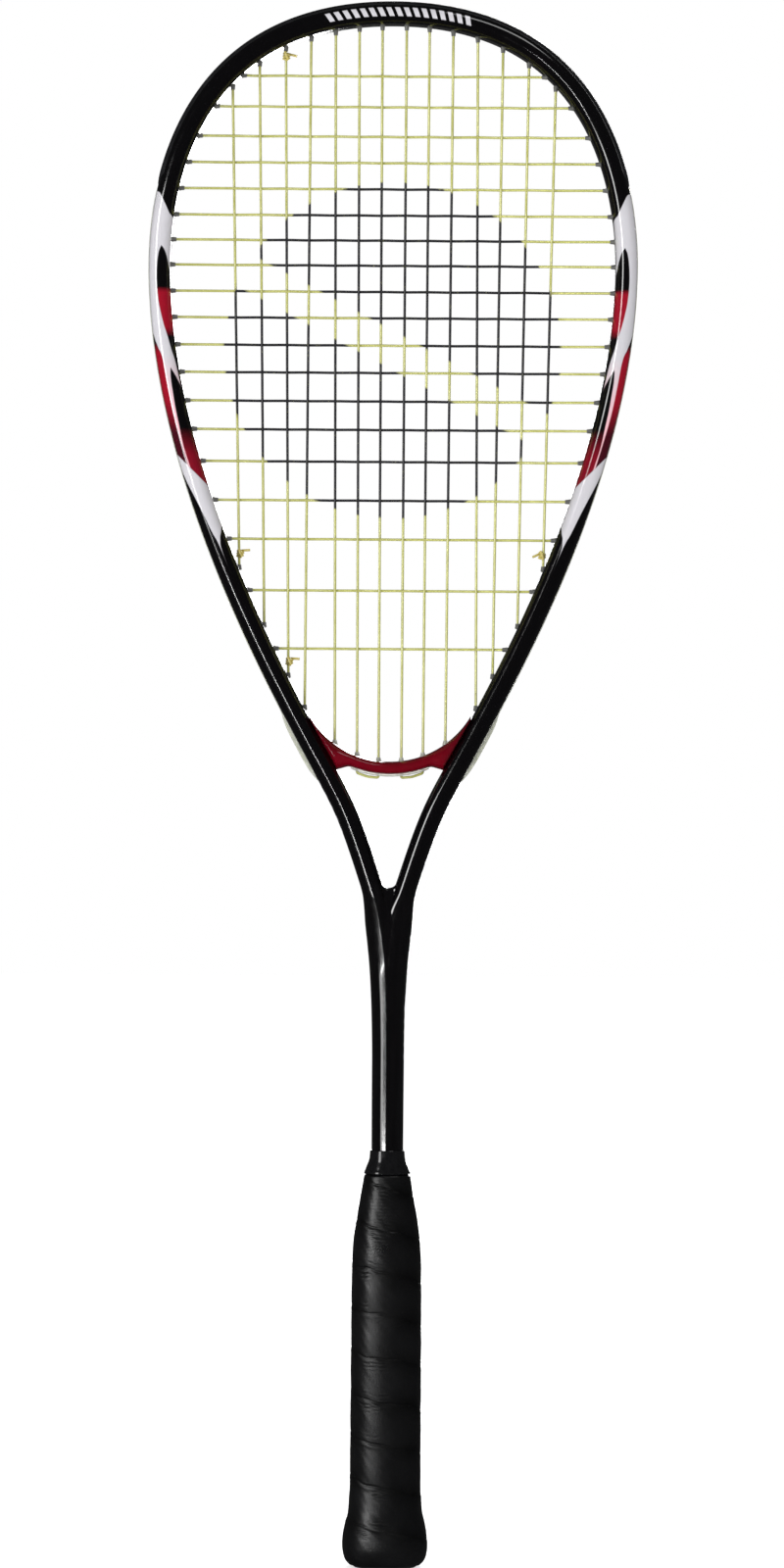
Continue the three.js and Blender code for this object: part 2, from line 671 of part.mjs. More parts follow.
// A knot is a ring of string round a main, just inside the frame.
function knot(main, end, side) {
  const string = side < 0 ? leftMains.mains[main] : rightMains.mains[main];
  const [top, low] = [string.top.inner[0], string.bottom.inner[0]];
  const along = low.clone().sub(top).normalize();
  const place = top.clone().addScaledVector(along, KNOT_OFF.top);
  if (end === "low") place.copy(low).addScaledVector(along, -KNOT_OFF.low);
  const profile = KNOT.map(([r, h]) => new THREE.Vector2(r, h));
  const geometry = new THREE.LatheGeometry([...profile, profile[0]], 8).rotateX(Math.PI / 2);
  return solid(geometry.translate(place.x, place.y, place.z));
}

// ---------------------------------------------------------------- assembly

const group = new THREE.Group();

function add(name, body, material) {
  const mesh = new THREE.Mesh(geometryOf(body), material);
  mesh.name = name;
  group.add(mesh);
}

add("head_tube", headTube, MATERIALS.frame);
add("throat_bridge", bridge, MATERIALS.bridge);
add("throat_core", throatCore, MATERIALS.core);
add("shaft", shaft, MATERIALS.shaft);
add("bumper_guard", bumper, MATERIALS.bumper);
add("grommet_strip_left", stripLeft, MATERIALS.clearStrip);
add("grommet_strip_right", stripRight, MATERIALS.clearStrip);
add("grommet_strip_bridge", bridgeStrip, MATERIALS.clearStrip);
add("main_string", mainString, MATERIALS.string);
add("cross_string", crossString, MATERIALS.string);
add("main_knot_left", knot(4, "low", -1), MATERIALS.string);
add("main_knot_right", knot(6, "low", 1), MATERIALS.string);
add("cross_knot_top", knot(4, "top", -1), MATERIALS.string);
add("cross_knot_low", knot(6, "low", -1), MATERIALS.string);
add("shaft_collar", collar, MATERIALS.collar);
add("grip_wrap", gripWrap, MATERIALS.grip);
add("handle_shell_front", frontShell, MATERIALS.foam);
add("handle_shell_back", backShell, MATERIALS.foam);
add("butt_cap", buttCap, MATERIALS.cap);
add("cap_staple_front", staple(-1, 0), MATERIALS.steel);
add("cap_staple_back", staple(1, 0), MATERIALS.steel);
add("shaft_foam_plug", foamPlug, MATERIALS.foam);

export default group;
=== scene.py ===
"""Looks of a squash racket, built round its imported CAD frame.

The frame is in metres: +Z up the shaft, X across the head, strings in the plane y = 0.
Shapes here are worked out in millimetres from the same driving dimensions and scaled once, in make_mesh.
"""

import math

import bmesh
import bpy
import numpy as np
from mathutils import Matrix, Vector

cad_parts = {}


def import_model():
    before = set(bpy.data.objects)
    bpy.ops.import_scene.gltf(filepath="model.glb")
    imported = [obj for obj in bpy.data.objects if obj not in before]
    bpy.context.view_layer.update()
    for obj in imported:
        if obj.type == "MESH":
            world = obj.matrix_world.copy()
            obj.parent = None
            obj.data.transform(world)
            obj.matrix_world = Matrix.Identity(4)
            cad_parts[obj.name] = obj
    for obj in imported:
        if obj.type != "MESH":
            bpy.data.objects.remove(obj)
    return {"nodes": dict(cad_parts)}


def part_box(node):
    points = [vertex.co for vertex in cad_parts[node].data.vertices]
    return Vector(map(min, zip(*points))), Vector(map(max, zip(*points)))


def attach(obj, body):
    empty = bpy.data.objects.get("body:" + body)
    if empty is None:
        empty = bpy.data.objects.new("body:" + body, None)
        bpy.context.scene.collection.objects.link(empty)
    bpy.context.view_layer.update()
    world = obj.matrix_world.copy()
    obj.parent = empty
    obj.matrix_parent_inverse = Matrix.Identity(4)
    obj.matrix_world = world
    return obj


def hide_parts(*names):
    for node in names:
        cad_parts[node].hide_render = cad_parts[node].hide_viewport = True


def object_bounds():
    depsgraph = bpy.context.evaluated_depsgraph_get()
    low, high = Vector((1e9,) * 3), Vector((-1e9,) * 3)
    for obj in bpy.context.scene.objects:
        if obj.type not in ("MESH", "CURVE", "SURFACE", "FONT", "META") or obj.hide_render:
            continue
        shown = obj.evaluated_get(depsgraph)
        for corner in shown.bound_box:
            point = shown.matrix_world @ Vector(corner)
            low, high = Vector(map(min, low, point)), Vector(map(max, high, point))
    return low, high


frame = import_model()
cad_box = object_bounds()

MM = 0.001
ROOT = "root"

# ---- driving dimensions, mm

TIP_Z = 680.2
TIP_HANDLE = 90.0
WIDEST = (102.2, 570.0)
WIDEST_HANDLES = (35.0, 53.0)
ARM_TOP = (48.0, 385.4)
ARM_ANGLE = math.radians(27.1)
ARM_HANDLES = (78.0, 60.0)
THROAT = (8.2, 300.0)
THROAT_ANGLE = math.radians(17.9)
THROAT_HANDLE = 44.0

HALF_BEAM = 4.7
HALF_DEPTH = 9.0
SIDE_FLAT = 3.6  # the tube's sides are flat to this depth each way, and its front and back are crowned
CROWN_POWER = 2.1
GROOVE_HALF = 3.3
GROOVE_FLOOR = 2.8
GROOVE_FADES = (345.0, 325.0)  # heights where the groove ends and where it is gone

STRIP_FLOOR = GROOVE_FLOOR + 0.25
STRIP_BASE = 0.7
STRIP_CHANNEL = 2.1
STRIP_HALF = 2.8
BUMPER_PROUD = 0.6
BUMPER_REACH = 7.4
LIP_HALF = 3.4  # the bumper narrows to this half depth at its ends
BUMPER_END_Z = 604.0
SIDE_STRIP_TOP_Z = 603.0
SIDE_STRIP_END_Z = 346.0
SWELL_Z = (376.0, 347.0)  # where the side strips swell over the long throat loops

STRING_R = 0.575
STRING_Y = 0.75
WEAVE = 0.6
WEAVE_STEPS = 7  # points from one crossing to the next
LOOP_OUT = STRIP_FLOOR + STRIP_BASE + 0.1 + STRING_R
MAINS_PER_SIDE = 7
MAIN_TAPER = 0.94
CROSS_Z = [
    653, 639.5, 626.5, 615, 603.5, 592, 581, 570, 558.5, 547,
    535, 523, 510.5, 498, 484, 467, 450, 427.5, 402,
]
MAIN_3_EXIT_Z = 350.0
MAIN_4_EXIT_Z = 371.0
LONG_LOOP_Z = 378.0  # below this height the loops on the arms are long and stand out further
CORNER_R = 0.9  # how tightly the strings turn at the frame
TAIL_LENGTH = 6.0

BRIDGE_TOP = (352.7, 41.0)  # lowest point and radius of its upper edge
BRIDGE_LOW = (347.0, 46.0)  # lowest point and radius of its lower edge
BRIDGE_LOW_HALF = 17.6
BRIDGE_POWER = 2.6  # how square its section is
BRIDGE_FOOT_Z = 349.3
BRIDGE_TIP_Z = 371.0

SEAM_Z = 300.0
CROTCH_Z = 300.9
CROTCH_R = 3.6
SHAFT_BOTTOM = 12.0
SHAFT_X = 6.98  # half width and half depth of the shaft in the handle
SHAFT_Y = 7.5
COLLAR_TOP = 182.5
GRIP_TOP = 172.0

WRAP_PITCH = 18.7
WRAP_PHASE = 0.35  # where on the turn the grip's first seam faces front

# ---- mesh helpers

RING_STEP = 2.4  # mm between rings along the head
TUBE_SHARP = 35.0  # degrees; sharper edges than this stay crisp
STRIP_SHARP = 32.0


def place(name, data):
    """A new object in the scene that holds the data."""
    thing = bpy.data.objects.new(name, data)
    bpy.context.scene.collection.objects.link(thing)
    return thing


def make_mesh(name, verts, faces, sharp):
    """A smooth-shaded object from vertices in mm; edges sharper than the angle stay crisp."""
    mesh = bpy.data.meshes.new(name)
    mesh.from_pydata([tuple(v) for v in np.asarray(verts) * MM], [], faces)
    mesh.validate()
    tidy = bmesh.new()
    tidy.from_mesh(mesh)
    bmesh.ops.recalc_face_normals(tidy, faces=tidy.faces)
    tidy.to_mesh(mesh)
    tidy.free()
    mesh.shade_smooth()
    mesh.set_sharp_from_angle(angle=math.radians(sharp))
    return place(name, mesh)


def grid_faces(rows, cols, first):
    """Quads of a grid whose columns close on themselves."""
    faces = []
    for r in range(rows - 1):
        for c in range(cols):
            a = first + r * cols + c
            b = first + r * cols + (c + 1) % cols
            faces.append((a, b, b + cols, a + cols))
    return faces


def skin(rows, first=0):
    """Faces of a closed body through rings of points, with flat ends."""
    count, cols = len(rows), len(rows[0])
    faces = grid_faces(count, cols, first)
    faces.append(tuple(first + c for c in reversed(range(cols))))
    faces.append(tuple(first + (count - 1) * cols + c for c in range(cols)))
    return faces


def body_of_rings(name, rings, sharp):
    """One closed body through rings of points."""
    return make_mesh(name, [p for ring in rings for p in ring], skin(rings), sharp)


class Batch:
    """Several closed bodies gathered into one object."""

    def __init__(self):
        self.verts = []
        self.faces = []

    def add_rings(self, rings):
        self.faces += skin(rings, len(self.verts))
        for ring in rings:
            self.verts.extend(ring)

    def build(self, name, sharp=40.0):
        """The bodies as one piece; edges sharper than the angle stay crisp."""
        return make_mesh(name, self.verts, self.faces, sharp)


def resample(points, count):
    """The same polyline with evenly spaced points."""
    points = np.asarray(points, float)
    steps = np.linalg.norm(np.diff(points, axis=0), axis=1)
    length = np.concatenate([[0], np.cumsum(steps)])
    wanted = np.linspace(0, length[-1], count)
    return np.stack([np.interp(wanted, length, points[:, k]) for k in range(points.shape[1])], axis=1)


def rounded(corners, radius):
    """A polyline with each corner turned into a short arc."""
    corners = [np.asarray(c, float) for c in corners]
    path = [corners[0]]
    for before, here, after in zip(corners, corners[1:], corners[2:]):
        to_before, to_after = before - here, after - here
        cut = min(radius, 0.45 * np.linalg.norm(to_before), 0.45 * np.linalg.norm(to_after))
        start = here + to_before / np.linalg.norm(to_before) * cut
        end = here + to_after / np.linalg.norm(to_after) * cut
        for t in np.linspace(0, 1, 5):
            path.append((1 - t) ** 2 * start + 2 * t * (1 - t) * here + t * t * end)
    path.append(corners[-1])
    return path


def oval(angle, a, b, power):
    """A point of a rounded oblong; a power of 2 makes an ellipse, and more makes it squarer."""
    x = a * math.copysign(abs(math.cos(angle)) ** (2 / power), math.cos(angle))
    y = b * math.copysign(abs(math.sin(angle)) ** (2 / power), math.sin(angle))
    return x, y


def full_turn(count):
    return np.linspace(0, 2 * math.pi, count, endpoint=False)


def tube_rings(path, radius):
    """Rings round a path, turned as little as possible from one to the next."""
    path = np.asarray(path, float)
    ahead = np.diff(path, axis=0)
    ahead /= np.linalg.norm(ahead, axis=1)[:, None]
    tangents = np.vstack([ahead[:1], ahead[:-1] + ahead[1:], ahead[-1:]])
    tangents /= np.linalg.norm(tangents, axis=1)[:, None]
    start = np.array([0.0, 1.0, 0.0]) if abs(tangents[0][1]) < 0.9 else np.array([1.0, 0.0, 0.0])
    normal = start - tangents[0] * start.dot(tangents[0])
    rings = []
    for point, tangent in zip(path, tangents):
        normal = normal - tangent * normal.dot(tangent)
        normal /= np.linalg.norm(normal)
        side = np.cross(tangent, normal)
        rings.append([point + radius * (math.cos(a) * normal + math.sin(a) * side) for a in full_turn(8)])
    return rings


def add_attribute(piece, name, values):
    attribute = piece.data.attributes.new(name, "FLOAT", "POINT")
    attribute.data.foreach_set("value", np.asarray(values, np.float32))


def finish_piece(piece, material, slot, *replaced):
    """Every piece rides on the racket's one body, and stands for the CAD nodes that it replaces."""
    piece.data.materials.clear()
    piece.data.materials.append(material)
    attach(piece, ROOT)
    if replaced:
        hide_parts(*replaced)
    return piece


# ---- head centreline


def bezier(p0, p1, p2, p3):
    t = np.linspace(0, 1, 400)[:, None]
    p0, p1, p2, p3 = (np.array(p, float) for p in (p0, p1, p2, p3))
    return (1 - t) ** 3 * p0 + 3 * (1 - t) ** 2 * t * p1 + 3 * (1 - t) * t**2 * p2 + t**3 * p3


def down(angle):
    """The direction down and inwards at an angle from the vertical."""
    return np.array([-math.sin(angle), -math.cos(angle)])


def head_curve():
    """One half of the centreline, from the tip to the throat, as even points in x and z."""
    top = bezier((0, TIP_Z), (TIP_HANDLE, TIP_Z), (WIDEST[0], WIDEST[1] + WIDEST_HANDLES[0]), WIDEST)
    arm, throat = np.array(ARM_TOP), np.array(THROAT)
    side = bezier(
        WIDEST, (WIDEST[0], WIDEST[1] - WIDEST_HANDLES[1]), arm - ARM_HANDLES[0] * down(ARM_ANGLE), arm
    )
    low = bezier(
        arm, arm + ARM_HANDLES[1] * down(ARM_ANGLE), throat - THROAT_HANDLE * down(THROAT_ANGLE), throat
    )
    return resample(np.vstack([top, side[1:], low[1:]]), 3001)


CURVE = head_curve()
CURVE_U = np.linspace(0, 1, len(CURVE))
HALF_LENGTH = np.linalg.norm(np.diff(CURVE, axis=0), axis=1).sum()
CURVE_TANGENT = np.gradient(CURVE, axis=0)
CURVE_TANGENT /= np.linalg.norm(CURVE_TANGENT, axis=1)[:, None]


def beside(u, side, out, y=0.0):
    """A point beside the centreline; u past 1 runs straight on down the throat's line."""
    inside = min(max(u, 0.0), 1.0)
    x, z = (np.interp(inside, CURVE_U, column) for column in CURVE.T)
    tx, tz = (np.interp(inside, CURVE_U, column) for column in CURVE_TANGENT.T)
    past = (u - inside) * HALF_LENGTH
    return np.array([side * (x + tx * past - tz * out), y, z + tz * past + tx * out])


def u_at_z(z, out=0.0):
    """Where along the half curve the line beside it, at a distance out, is at a height."""
    heights = CURVE[:, 1] + CURVE_TANGENT[:, 0] * out
    return float(np.interp(-z, -heights, CURVE_U))


WIDEST_U = u_at_z(WIDEST[1])


def u_at_inner_x(x, top):
    """Where the tube's inner edge is at a distance across, in its upper part (top) or its lower part."""
    across = CURVE[:, 0] + CURVE_TANGENT[:, 1] * HALF_BEAM
    upper = CURVE_U <= WIDEST_U
    if top:
        return float(np.interp(x, across[upper], CURVE_U[upper]))
    return float(np.interp(-x, -across[~upper], CURVE_U[~upper]))


def side_out(y):
    """How far out the tube's surface is at a depth y."""
    rise = min(max(abs(y) - SIDE_FLAT, 0.0) / (HALF_DEPTH - SIDE_FLAT), 1.0)
    return HALF_BEAM * (1 - rise**CROWN_POWER) ** (1 / CROWN_POWER)


def tube_half_section(groove):
    """Half of the tube's section as (depth, out), from mid outside to mid inside."""
    depths = [0.0, 1.4, 2.6, 3.1, GROOVE_HALF, GROOVE_HALF + 0.08, GROOVE_HALF + 0.35]
    sunk = [GROOVE_FLOOR, GROOVE_FLOOR, GROOVE_FLOOR, GROOVE_FLOOR + 0.12, GROOVE_FLOOR + 0.5]
    sunk += [side_out(GROOVE_HALF) - 0.4, side_out(GROOVE_HALF + 0.35) - 0.06]
    half = [(y, groove * low + (1 - groove) * side_out(y)) for y, low in zip(depths, sunk)]
    crown = []
    for a in np.linspace(0, math.pi, 800):
        depth = SIDE_FLAT + (HALF_DEPTH - SIDE_FLAT) * abs(math.sin(a)) ** (2 / CROWN_POWER)
        out = HALF_BEAM * math.copysign(abs(math.cos(a)) ** (2 / CROWN_POWER), math.cos(a))
        crown.append((depth, out))
    start = (GROOVE_HALF + 0.75, side_out(GROOVE_HALF + 0.75))
    outline = [start] + [p for p in crown if p[0] > start[0]] + [(0.0, -HALF_BEAM)]
    return half + [tuple(p) for p in resample(outline, 34)]


def mirrored(half):
    """A full section from half of one; the first and last points lie on the middle plane."""
    return half + [(-depth, out) for depth, out in reversed(half[1:-1])]


def ring_count(u_from, u_to):
    return int((u_to - u_from) * HALF_LENGTH / RING_STEP) + 1


def sweep_head(u_from, u_to, section_at):
    """Rings along the head from one signed u to another (negative is the left side)."""
    rings = []
    for u in np.linspace(u_from, u_to, ring_count(u_from, u_to)):
        side = -1 if u < 0 else 1
        rings.append([beside(abs(u), side, out, depth) for depth, out in section_at(u)])
    return rings


# ---- shader helpers


class Shader:
    """A small writer for node materials: every call returns an output socket."""

    def __init__(self, name):
        self.material = bpy.data.materials.new(name)
        self.material.use_nodes = True
        self.tree = self.material.node_tree
        self.surface = self.tree.nodes["Principled BSDF"]
        self.coordinates = self.tree.nodes.new("ShaderNodeTexCoord").outputs["Object"]

    def node(self, kind, inputs=None, **settings):
        made = self.tree.nodes.new(kind)
        for key, value in settings.items():
            setattr(made, key, value)
        for key, value in (inputs or {}).items():
            self.feed(made.inputs[key], value)
        return made

    def feed(self, socket, value):
        if isinstance(value, bpy.types.NodeSocket):
            self.tree.links.new(value, socket)
        else:
            socket.default_value = value

    def math(self, operation, *values):
        return self.node("ShaderNodeMath", dict(enumerate(values)), operation=operation).outputs[0]

    def mix(self, factor, a, b):
        """Colour a where the factor is 0, and b where it is 1."""
        a, b = ((*value, 1.0) if isinstance(value, tuple) else value for value in (a, b))
        made = self.node("ShaderNodeMix", data_type="RGBA")
        for key, value in (("Factor", factor), ("A", a), ("B", b)):
            self.feed(made.inputs[key], value)
        return made.outputs["Result"]

    def noise(self, scale, detail, roughness=0.5, stretch=None):
        """Smooth noise between 0 and 1; scale is in waves for each metre."""
        source = self.coordinates
        if stretch:
            source = self.node("ShaderNodeMapping", {"Vector": source, "Scale": stretch}).outputs[0]
        inputs = {"Vector": source, "Scale": scale, "Detail": detail, "Roughness": roughness}
        return self.node("ShaderNodeTexNoise", inputs).outputs["Fac"]

    def ranged(self, value, low, high, to_low=0.0, to_high=1.0):
        """A value between low and high turned into one between to_low and to_high, and held there."""
        inputs = {"Value": value, "From Min": low, "From Max": high, "To Min": to_low, "To Max": to_high}
        return self.node("ShaderNodeMapRange", inputs).outputs["Result"]

    def attribute(self, name):
        return self.node("ShaderNodeAttribute", attribute_name=name).outputs["Fac"]

    def position_mm(self):
        split = self.node("ShaderNodeSeparateXYZ", {0: self.coordinates})
        return [self.math("MULTIPLY", split.outputs[k], 1 / MM) for k in range(3)]

    def curve(self, value, low, high, points):
        """A smooth function through (value, result) points between low and high."""
        made = self.node("ShaderNodeFloatCurve", {"Value": self.ranged(value, low, high)})
        line = made.mapping.curves[0]
        placed = sorted(((v - low) / (high - low), result) for v, result in points)
        line.points[0].location = placed[0]
        line.points[-1].location = placed[-1]
        for location in placed[1:-1]:
            line.points.new(*location)
        made.mapping.update()
        return made.outputs[0]

    def below(self, value, edge, soft=0.01):
        """1 where value is under edge, with a soft border."""
        gap = self.math("SUBTRACT", edge, value)
        return self.ranged(gap, -soft, soft)

    def both(self, *masks):
        result = masks[0]
        for mask in masks[1:]:
            result = self.math("MULTIPLY", result, mask)
        return result

    def bump(self, height, strength, distance_mm):
        inputs = {"Strength": strength, "Distance": distance_mm * MM, "Height": height}
        self.set(Normal=self.node("ShaderNodeBump", inputs).outputs[0])

    def set(self, **values):
        for key, value in values.items():
            self.feed(self.surface.inputs[key.replace("_", " ")], value)
        return self.material


BLACK = (0.0012, 0.001, 0.0014)
WHITE = (0.52, 0.51, 0.54)
RED = (0.26, 0.004, 0.015)
LENS_RED = (0.17, 0.003, 0.012)
MAROON = (0.045, 0.002, 0.007)
PINK = (0.75, 0.42, 0.47)


def gloss_coat(shader):
    """Lacquer: a faint orange peel, and a little dust that dulls it here and there."""
    peel = shader.noise(900.0, 2.0)
    shader.bump(peel, 0.03, 0.05)
    dust = shader.ranged(shader.noise(260.0, 5.0, 0.65), 0.45, 0.8, 0.1, 0.2)
    shader.set(Roughness=dust, Coat_Weight=0.55, Coat_Roughness=0.04, Specular_IOR_Level=0.45)


def edge_mark_bars(s, z, low, high):
    """Plain bars, all alike, in a row up an edge."""
    row = s.both(s.below(low, z, 0.1), s.below(z, high, 0.1))
    return s.math("MULTIPLY", row, s.below(s.math("PINGPONG", z, 2.6), 1.1, 0.1))


# Edges of the painted panels on each side, as (height, place across the tube's side). 0 across is the tube's
# outer edge and 1 its inner edge.
PANELS = (430.0, 610.0)  # the heights that all the panels lie between
UPPER_WHITE_INNER = [(430, 1), (588, 1), (591.5, 0.8), (597, 0.45), (601, 0.16), (602.5, 0), (610, 0)]
UPPER_LENS_OUTER = [
    (430, 1), (522, 0.9), (533, 0.76), (539, 0.66), (543, 0.57), (549, 0.47),
    (555, 0.4), (563, 0.37), (570, 0.4), (577.6, 0.56), (579, 0.75), (610, 1),
]
UPPER_LENS_INNER = [(430, 1), (564, 1), (568, 0.95), (573, 0.84), (577.5, 0.6), (579, 0.4), (610, 0)]
WEDGE_INNER = [
    (430, 0.38), (478, 0.38), (490, 0.36), (505, 0.32), (518, 0.33),
    (526, 0.33), (533, 0.18), (538, 0.05), (541, 0), (610, 0),
]
LOW_LENS_OUTER = [
    (430, 0.46), (474, 0.46), (483, 0.43), (490, 0.41), (499, 0.45), (507, 0.47),
    (513, 0.5), (518, 0.52), (523, 0.58), (527, 0.8), (529, 1), (610, 1),
]
LOW_LENS_INNER = [
    (430, 1), (508, 1), (514, 0.96), (519, 0.84), (523, 0.68), (525, 0.58), (526, 0.5), (610, 0.4),
]
LOW_WHITE_OUTER = [
    (430, 0.6), (447, 0.55), (452, 0.46), (460, 0.36), (466, 0.26),
    (472, 0.14), (477, 0.05), (481, 0), (610, 0),
]
LOW_WHITE_INNER = [(430, 0.56), (444, 0.58), (449, 0.68), (454, 0.9), (458, 1), (610, 1)]


def side_panels(s, z, across):
    """The colours down each side, from the white at the top to the white wedge at the bottom."""

    def inside(points):
        return s.below(across, s.curve(z, *PANELS, points), 0.02)

    def outside(points):
        return s.below(s.curve(z, *PANELS, points), across, 0.02)

    upper_white = s.both(inside(UPPER_WHITE_INNER), s.below(528.0, z, 0.4))
    colour = s.mix(upper_white, BLACK, WHITE)
    colour = s.mix(s.both(s.below(512.0, z, 0.5), s.below(z, 580.0)), colour, WHITE)
    pale = s.mix(s.ranged(z, 530.0, 500.0), WHITE, PINK)
    colour = s.mix(s.both(s.below(z, 541.0), s.below(478.0, z)), colour, pale)

    upper_lens = s.both(outside(UPPER_LENS_OUTER), inside(UPPER_LENS_INNER), s.below(z, 578.3, 0.3))
    lens_red = s.both(s.below(z, 558.4, 1.2), s.below(540.0, z, 2.0))
    colour = s.mix(upper_lens, colour, s.mix(lens_red, BLACK, RED))

    wedge_red = s.mix(s.ranged(z, 510.0, 496.0), RED, MAROON)
    wedge = s.both(inside(WEDGE_INNER), s.below(z, 540.0))
    colour = s.mix(wedge, colour, s.mix(s.below(z, 533.0, 2.0), BLACK, wedge_red))

    low_lens = s.both(outside(LOW_LENS_OUTER), s.below(z, 527.0, 1.0), inside(LOW_LENS_INNER))
    colour = s.mix(low_lens, colour, s.mix(s.below(z, 492.0, 6.0), BLACK, LENS_RED))

    slanted_top = s.below(z, s.math("SUBTRACT", 486.5, s.math("MULTIPLY", across, 14.0)), 0.4)
    above_slant = s.math("SUBTRACT", 1.0, slanted_top)
    colour = s.mix(s.both(s.below(z, 478.5, 0.3), above_slant), colour, LENS_RED)
    colour = s.mix(s.both(slanted_top, s.below(z, 487.0)), colour, BLACK)
    low_white = s.both(slanted_top, outside(LOW_WHITE_OUTER), inside(LOW_WHITE_INNER))
    return s.mix(low_white, colour, WHITE)


def tip_dashes(s, z, across):
    """A row of plain slanted dashes over the tip, all alike."""
    along = s.attribute("along")  # mm from the tip
    slant = s.math("ADD", along, s.math("MULTIPLY", across, -4.0))
    whole_periods = 380.0  # keeps the pattern's argument above zero
    stripe = s.math("PINGPONG", s.math("ADD", slant, whole_periods), 1.9)
    return s.both(
        s.below(stripe, 1.1, 0.06),
        s.below(s.math("ABSOLUTE", slant), 32.4, 0.05),
        s.below(0.27, across, 0.02),
        s.below(across, 0.68, 0.02),
        s.below(660.0, z),
    )


def frame_paint():
    """Gloss black with tapered white and red panels down each side, and slanted white dashes at the tip."""
    s = Shader("frame_paint")
    x, y, z = s.position_mm()
    across = s.attribute("across")
    low, high = PANELS
    on_side = s.both(s.below(50.0, s.math("ABSOLUTE", x)), s.below(z, high), s.below(low, z))
    left_edge_bars = s.both(
        edge_mark_bars(s, z, 318.0, 346.0),
        s.below(x, 0.0),
        s.below(across, 0.03, 0.02),
        s.below(s.math("ABSOLUTE", y), 5.4, 0.2),
    )
    marks = s.math("MAXIMUM", tip_dashes(s, z, across), left_edge_bars)
    colour = s.mix(on_side, BLACK, side_panels(s, z, across))
    gloss_coat(s)
    return s.set(Base_Color=s.mix(marks, colour, WHITE))


def shaft_paint():
    """The same black lacquer, over a faint lengthwise fibre."""
    s = Shader("shaft_paint")
    x, y, z = s.position_mm()
    fibre = s.noise(420.0, 3.0, stretch=(1.0, 1.0, 0.06))
    black = s.mix(s.ranged(fibre, 0.45, 0.7), BLACK, (0.0022, 0.002, 0.0025))
    on_right_edge = s.both(s.below(0.0, x), s.below(s.math("ABSOLUTE", y), 2.2, 0.2))
    bars = s.both(edge_mark_bars(s, z, 222.0, 284.0), on_right_edge)
    gloss_coat(s)
    return s.set(Base_Color=s.mix(bars, black, (0.45, 0.45, 0.47)))


def bridge_plastic():
    """Deep red moulded plastic, with painted shade that darkens it where it meets the arms."""
    s = Shader("bridge_plastic")
    x, _, _ = s.position_mm()
    # painted shade: the red darkens out along the wings towards the arms
    reach = s.ranged(s.math("ABSOLUTE", x), 22.0, 35.0)
    grain = s.ranged(s.noise(140.0, 4.0), 0.3, 0.7)
    red = s.mix(grain, (0.105, 0.0006, 0.0045), (0.13, 0.001, 0.007))
    gloss_coat(s)
    s.set(Coat_Weight=0.25, Specular_IOR_Level=0.3)
    return s.set(Base_Color=s.mix(reach, red, (0.05, 0.001, 0.004)))


def satin_plastic(name, colour, lighter, roughness):
    """Moulded plastic with a fine spark-eroded grain and rubbed, shinier high spots."""
    s = Shader(name)
    s.bump(s.noise(1400.0, 3.0), 0.35, 0.05)
    worn = s.noise(120.0, 4.0, 0.6)
    s.set(Base_Color=s.mix(s.ranged(worn, 0.5, 0.75), colour, lighter))
    return s.set(Roughness=s.ranged(worn, 0.35, 0.75, roughness + 0.08, roughness - 0.08))


def clear_plastic():
    """Frosted nylon strip, a little yellowed."""
    s = Shader("clear_plastic")
    haze = s.noise(300.0, 4.0)
    s.bump(haze, 0.15, 0.05)
    s.set(Base_Color=s.mix(s.ranged(haze, 0.35, 0.7), (0.66, 0.68, 0.6), (0.8, 0.81, 0.74)))
    s.set(Transmission_Weight=0.55, IOR=1.46)
    return s.set(Roughness=s.ranged(haze, 0.3, 0.7, 0.28, 0.42))


def string_nylon():
    """Pale yellow nylon, inked black inside a plain disc with one clear slanted band."""
    s = Shader("string_nylon")
    x, _, z = s.position_mm()
    centre_z, radius, band_half = 533.0, 75.0, 7.5
    dz = s.math("SUBTRACT", z, centre_z)
    away = s.math("SQRT", s.math("ADD", s.math("MULTIPLY", x, x), s.math("MULTIPLY", dz, dz)))
    ragged = s.math("MULTIPLY", s.noise(500.0, 3.0), 2.4)
    disc = s.below(s.math("ADD", away, ragged), radius, 0.5)
    tilt = math.radians(62.0)
    along = s.math("ADD", s.math("MULTIPLY", x, math.cos(tilt)), s.math("MULTIPLY", dz, math.sin(tilt)))
    outside_band = s.below(band_half, s.math("ABSOLUTE", along), 0.5)
    patchy = s.ranged(s.noise(1600.0, 3.0), 0.18, 0.4, 0.6, 1.0)
    ink = s.both(disc, outside_band, patchy)
    tone = s.noise(90.0, 3.0)
    nylon = s.mix(s.ranged(tone, 0.35, 0.65), (0.46, 0.46, 0.13), (0.56, 0.56, 0.2))
    s.bump(s.noise(2500.0, 2.0), 0.1, 0.03)
    s.set(Base_Color=s.mix(ink, nylon, (0.012, 0.012, 0.016)))
    s.set(Transmission_Weight=s.math("MULTIPLY", s.math("SUBTRACT", 1.0, ink), 0.25))
    return s.set(Roughness=s.math("MULTIPLY_ADD", ink, 0.2, 0.26))


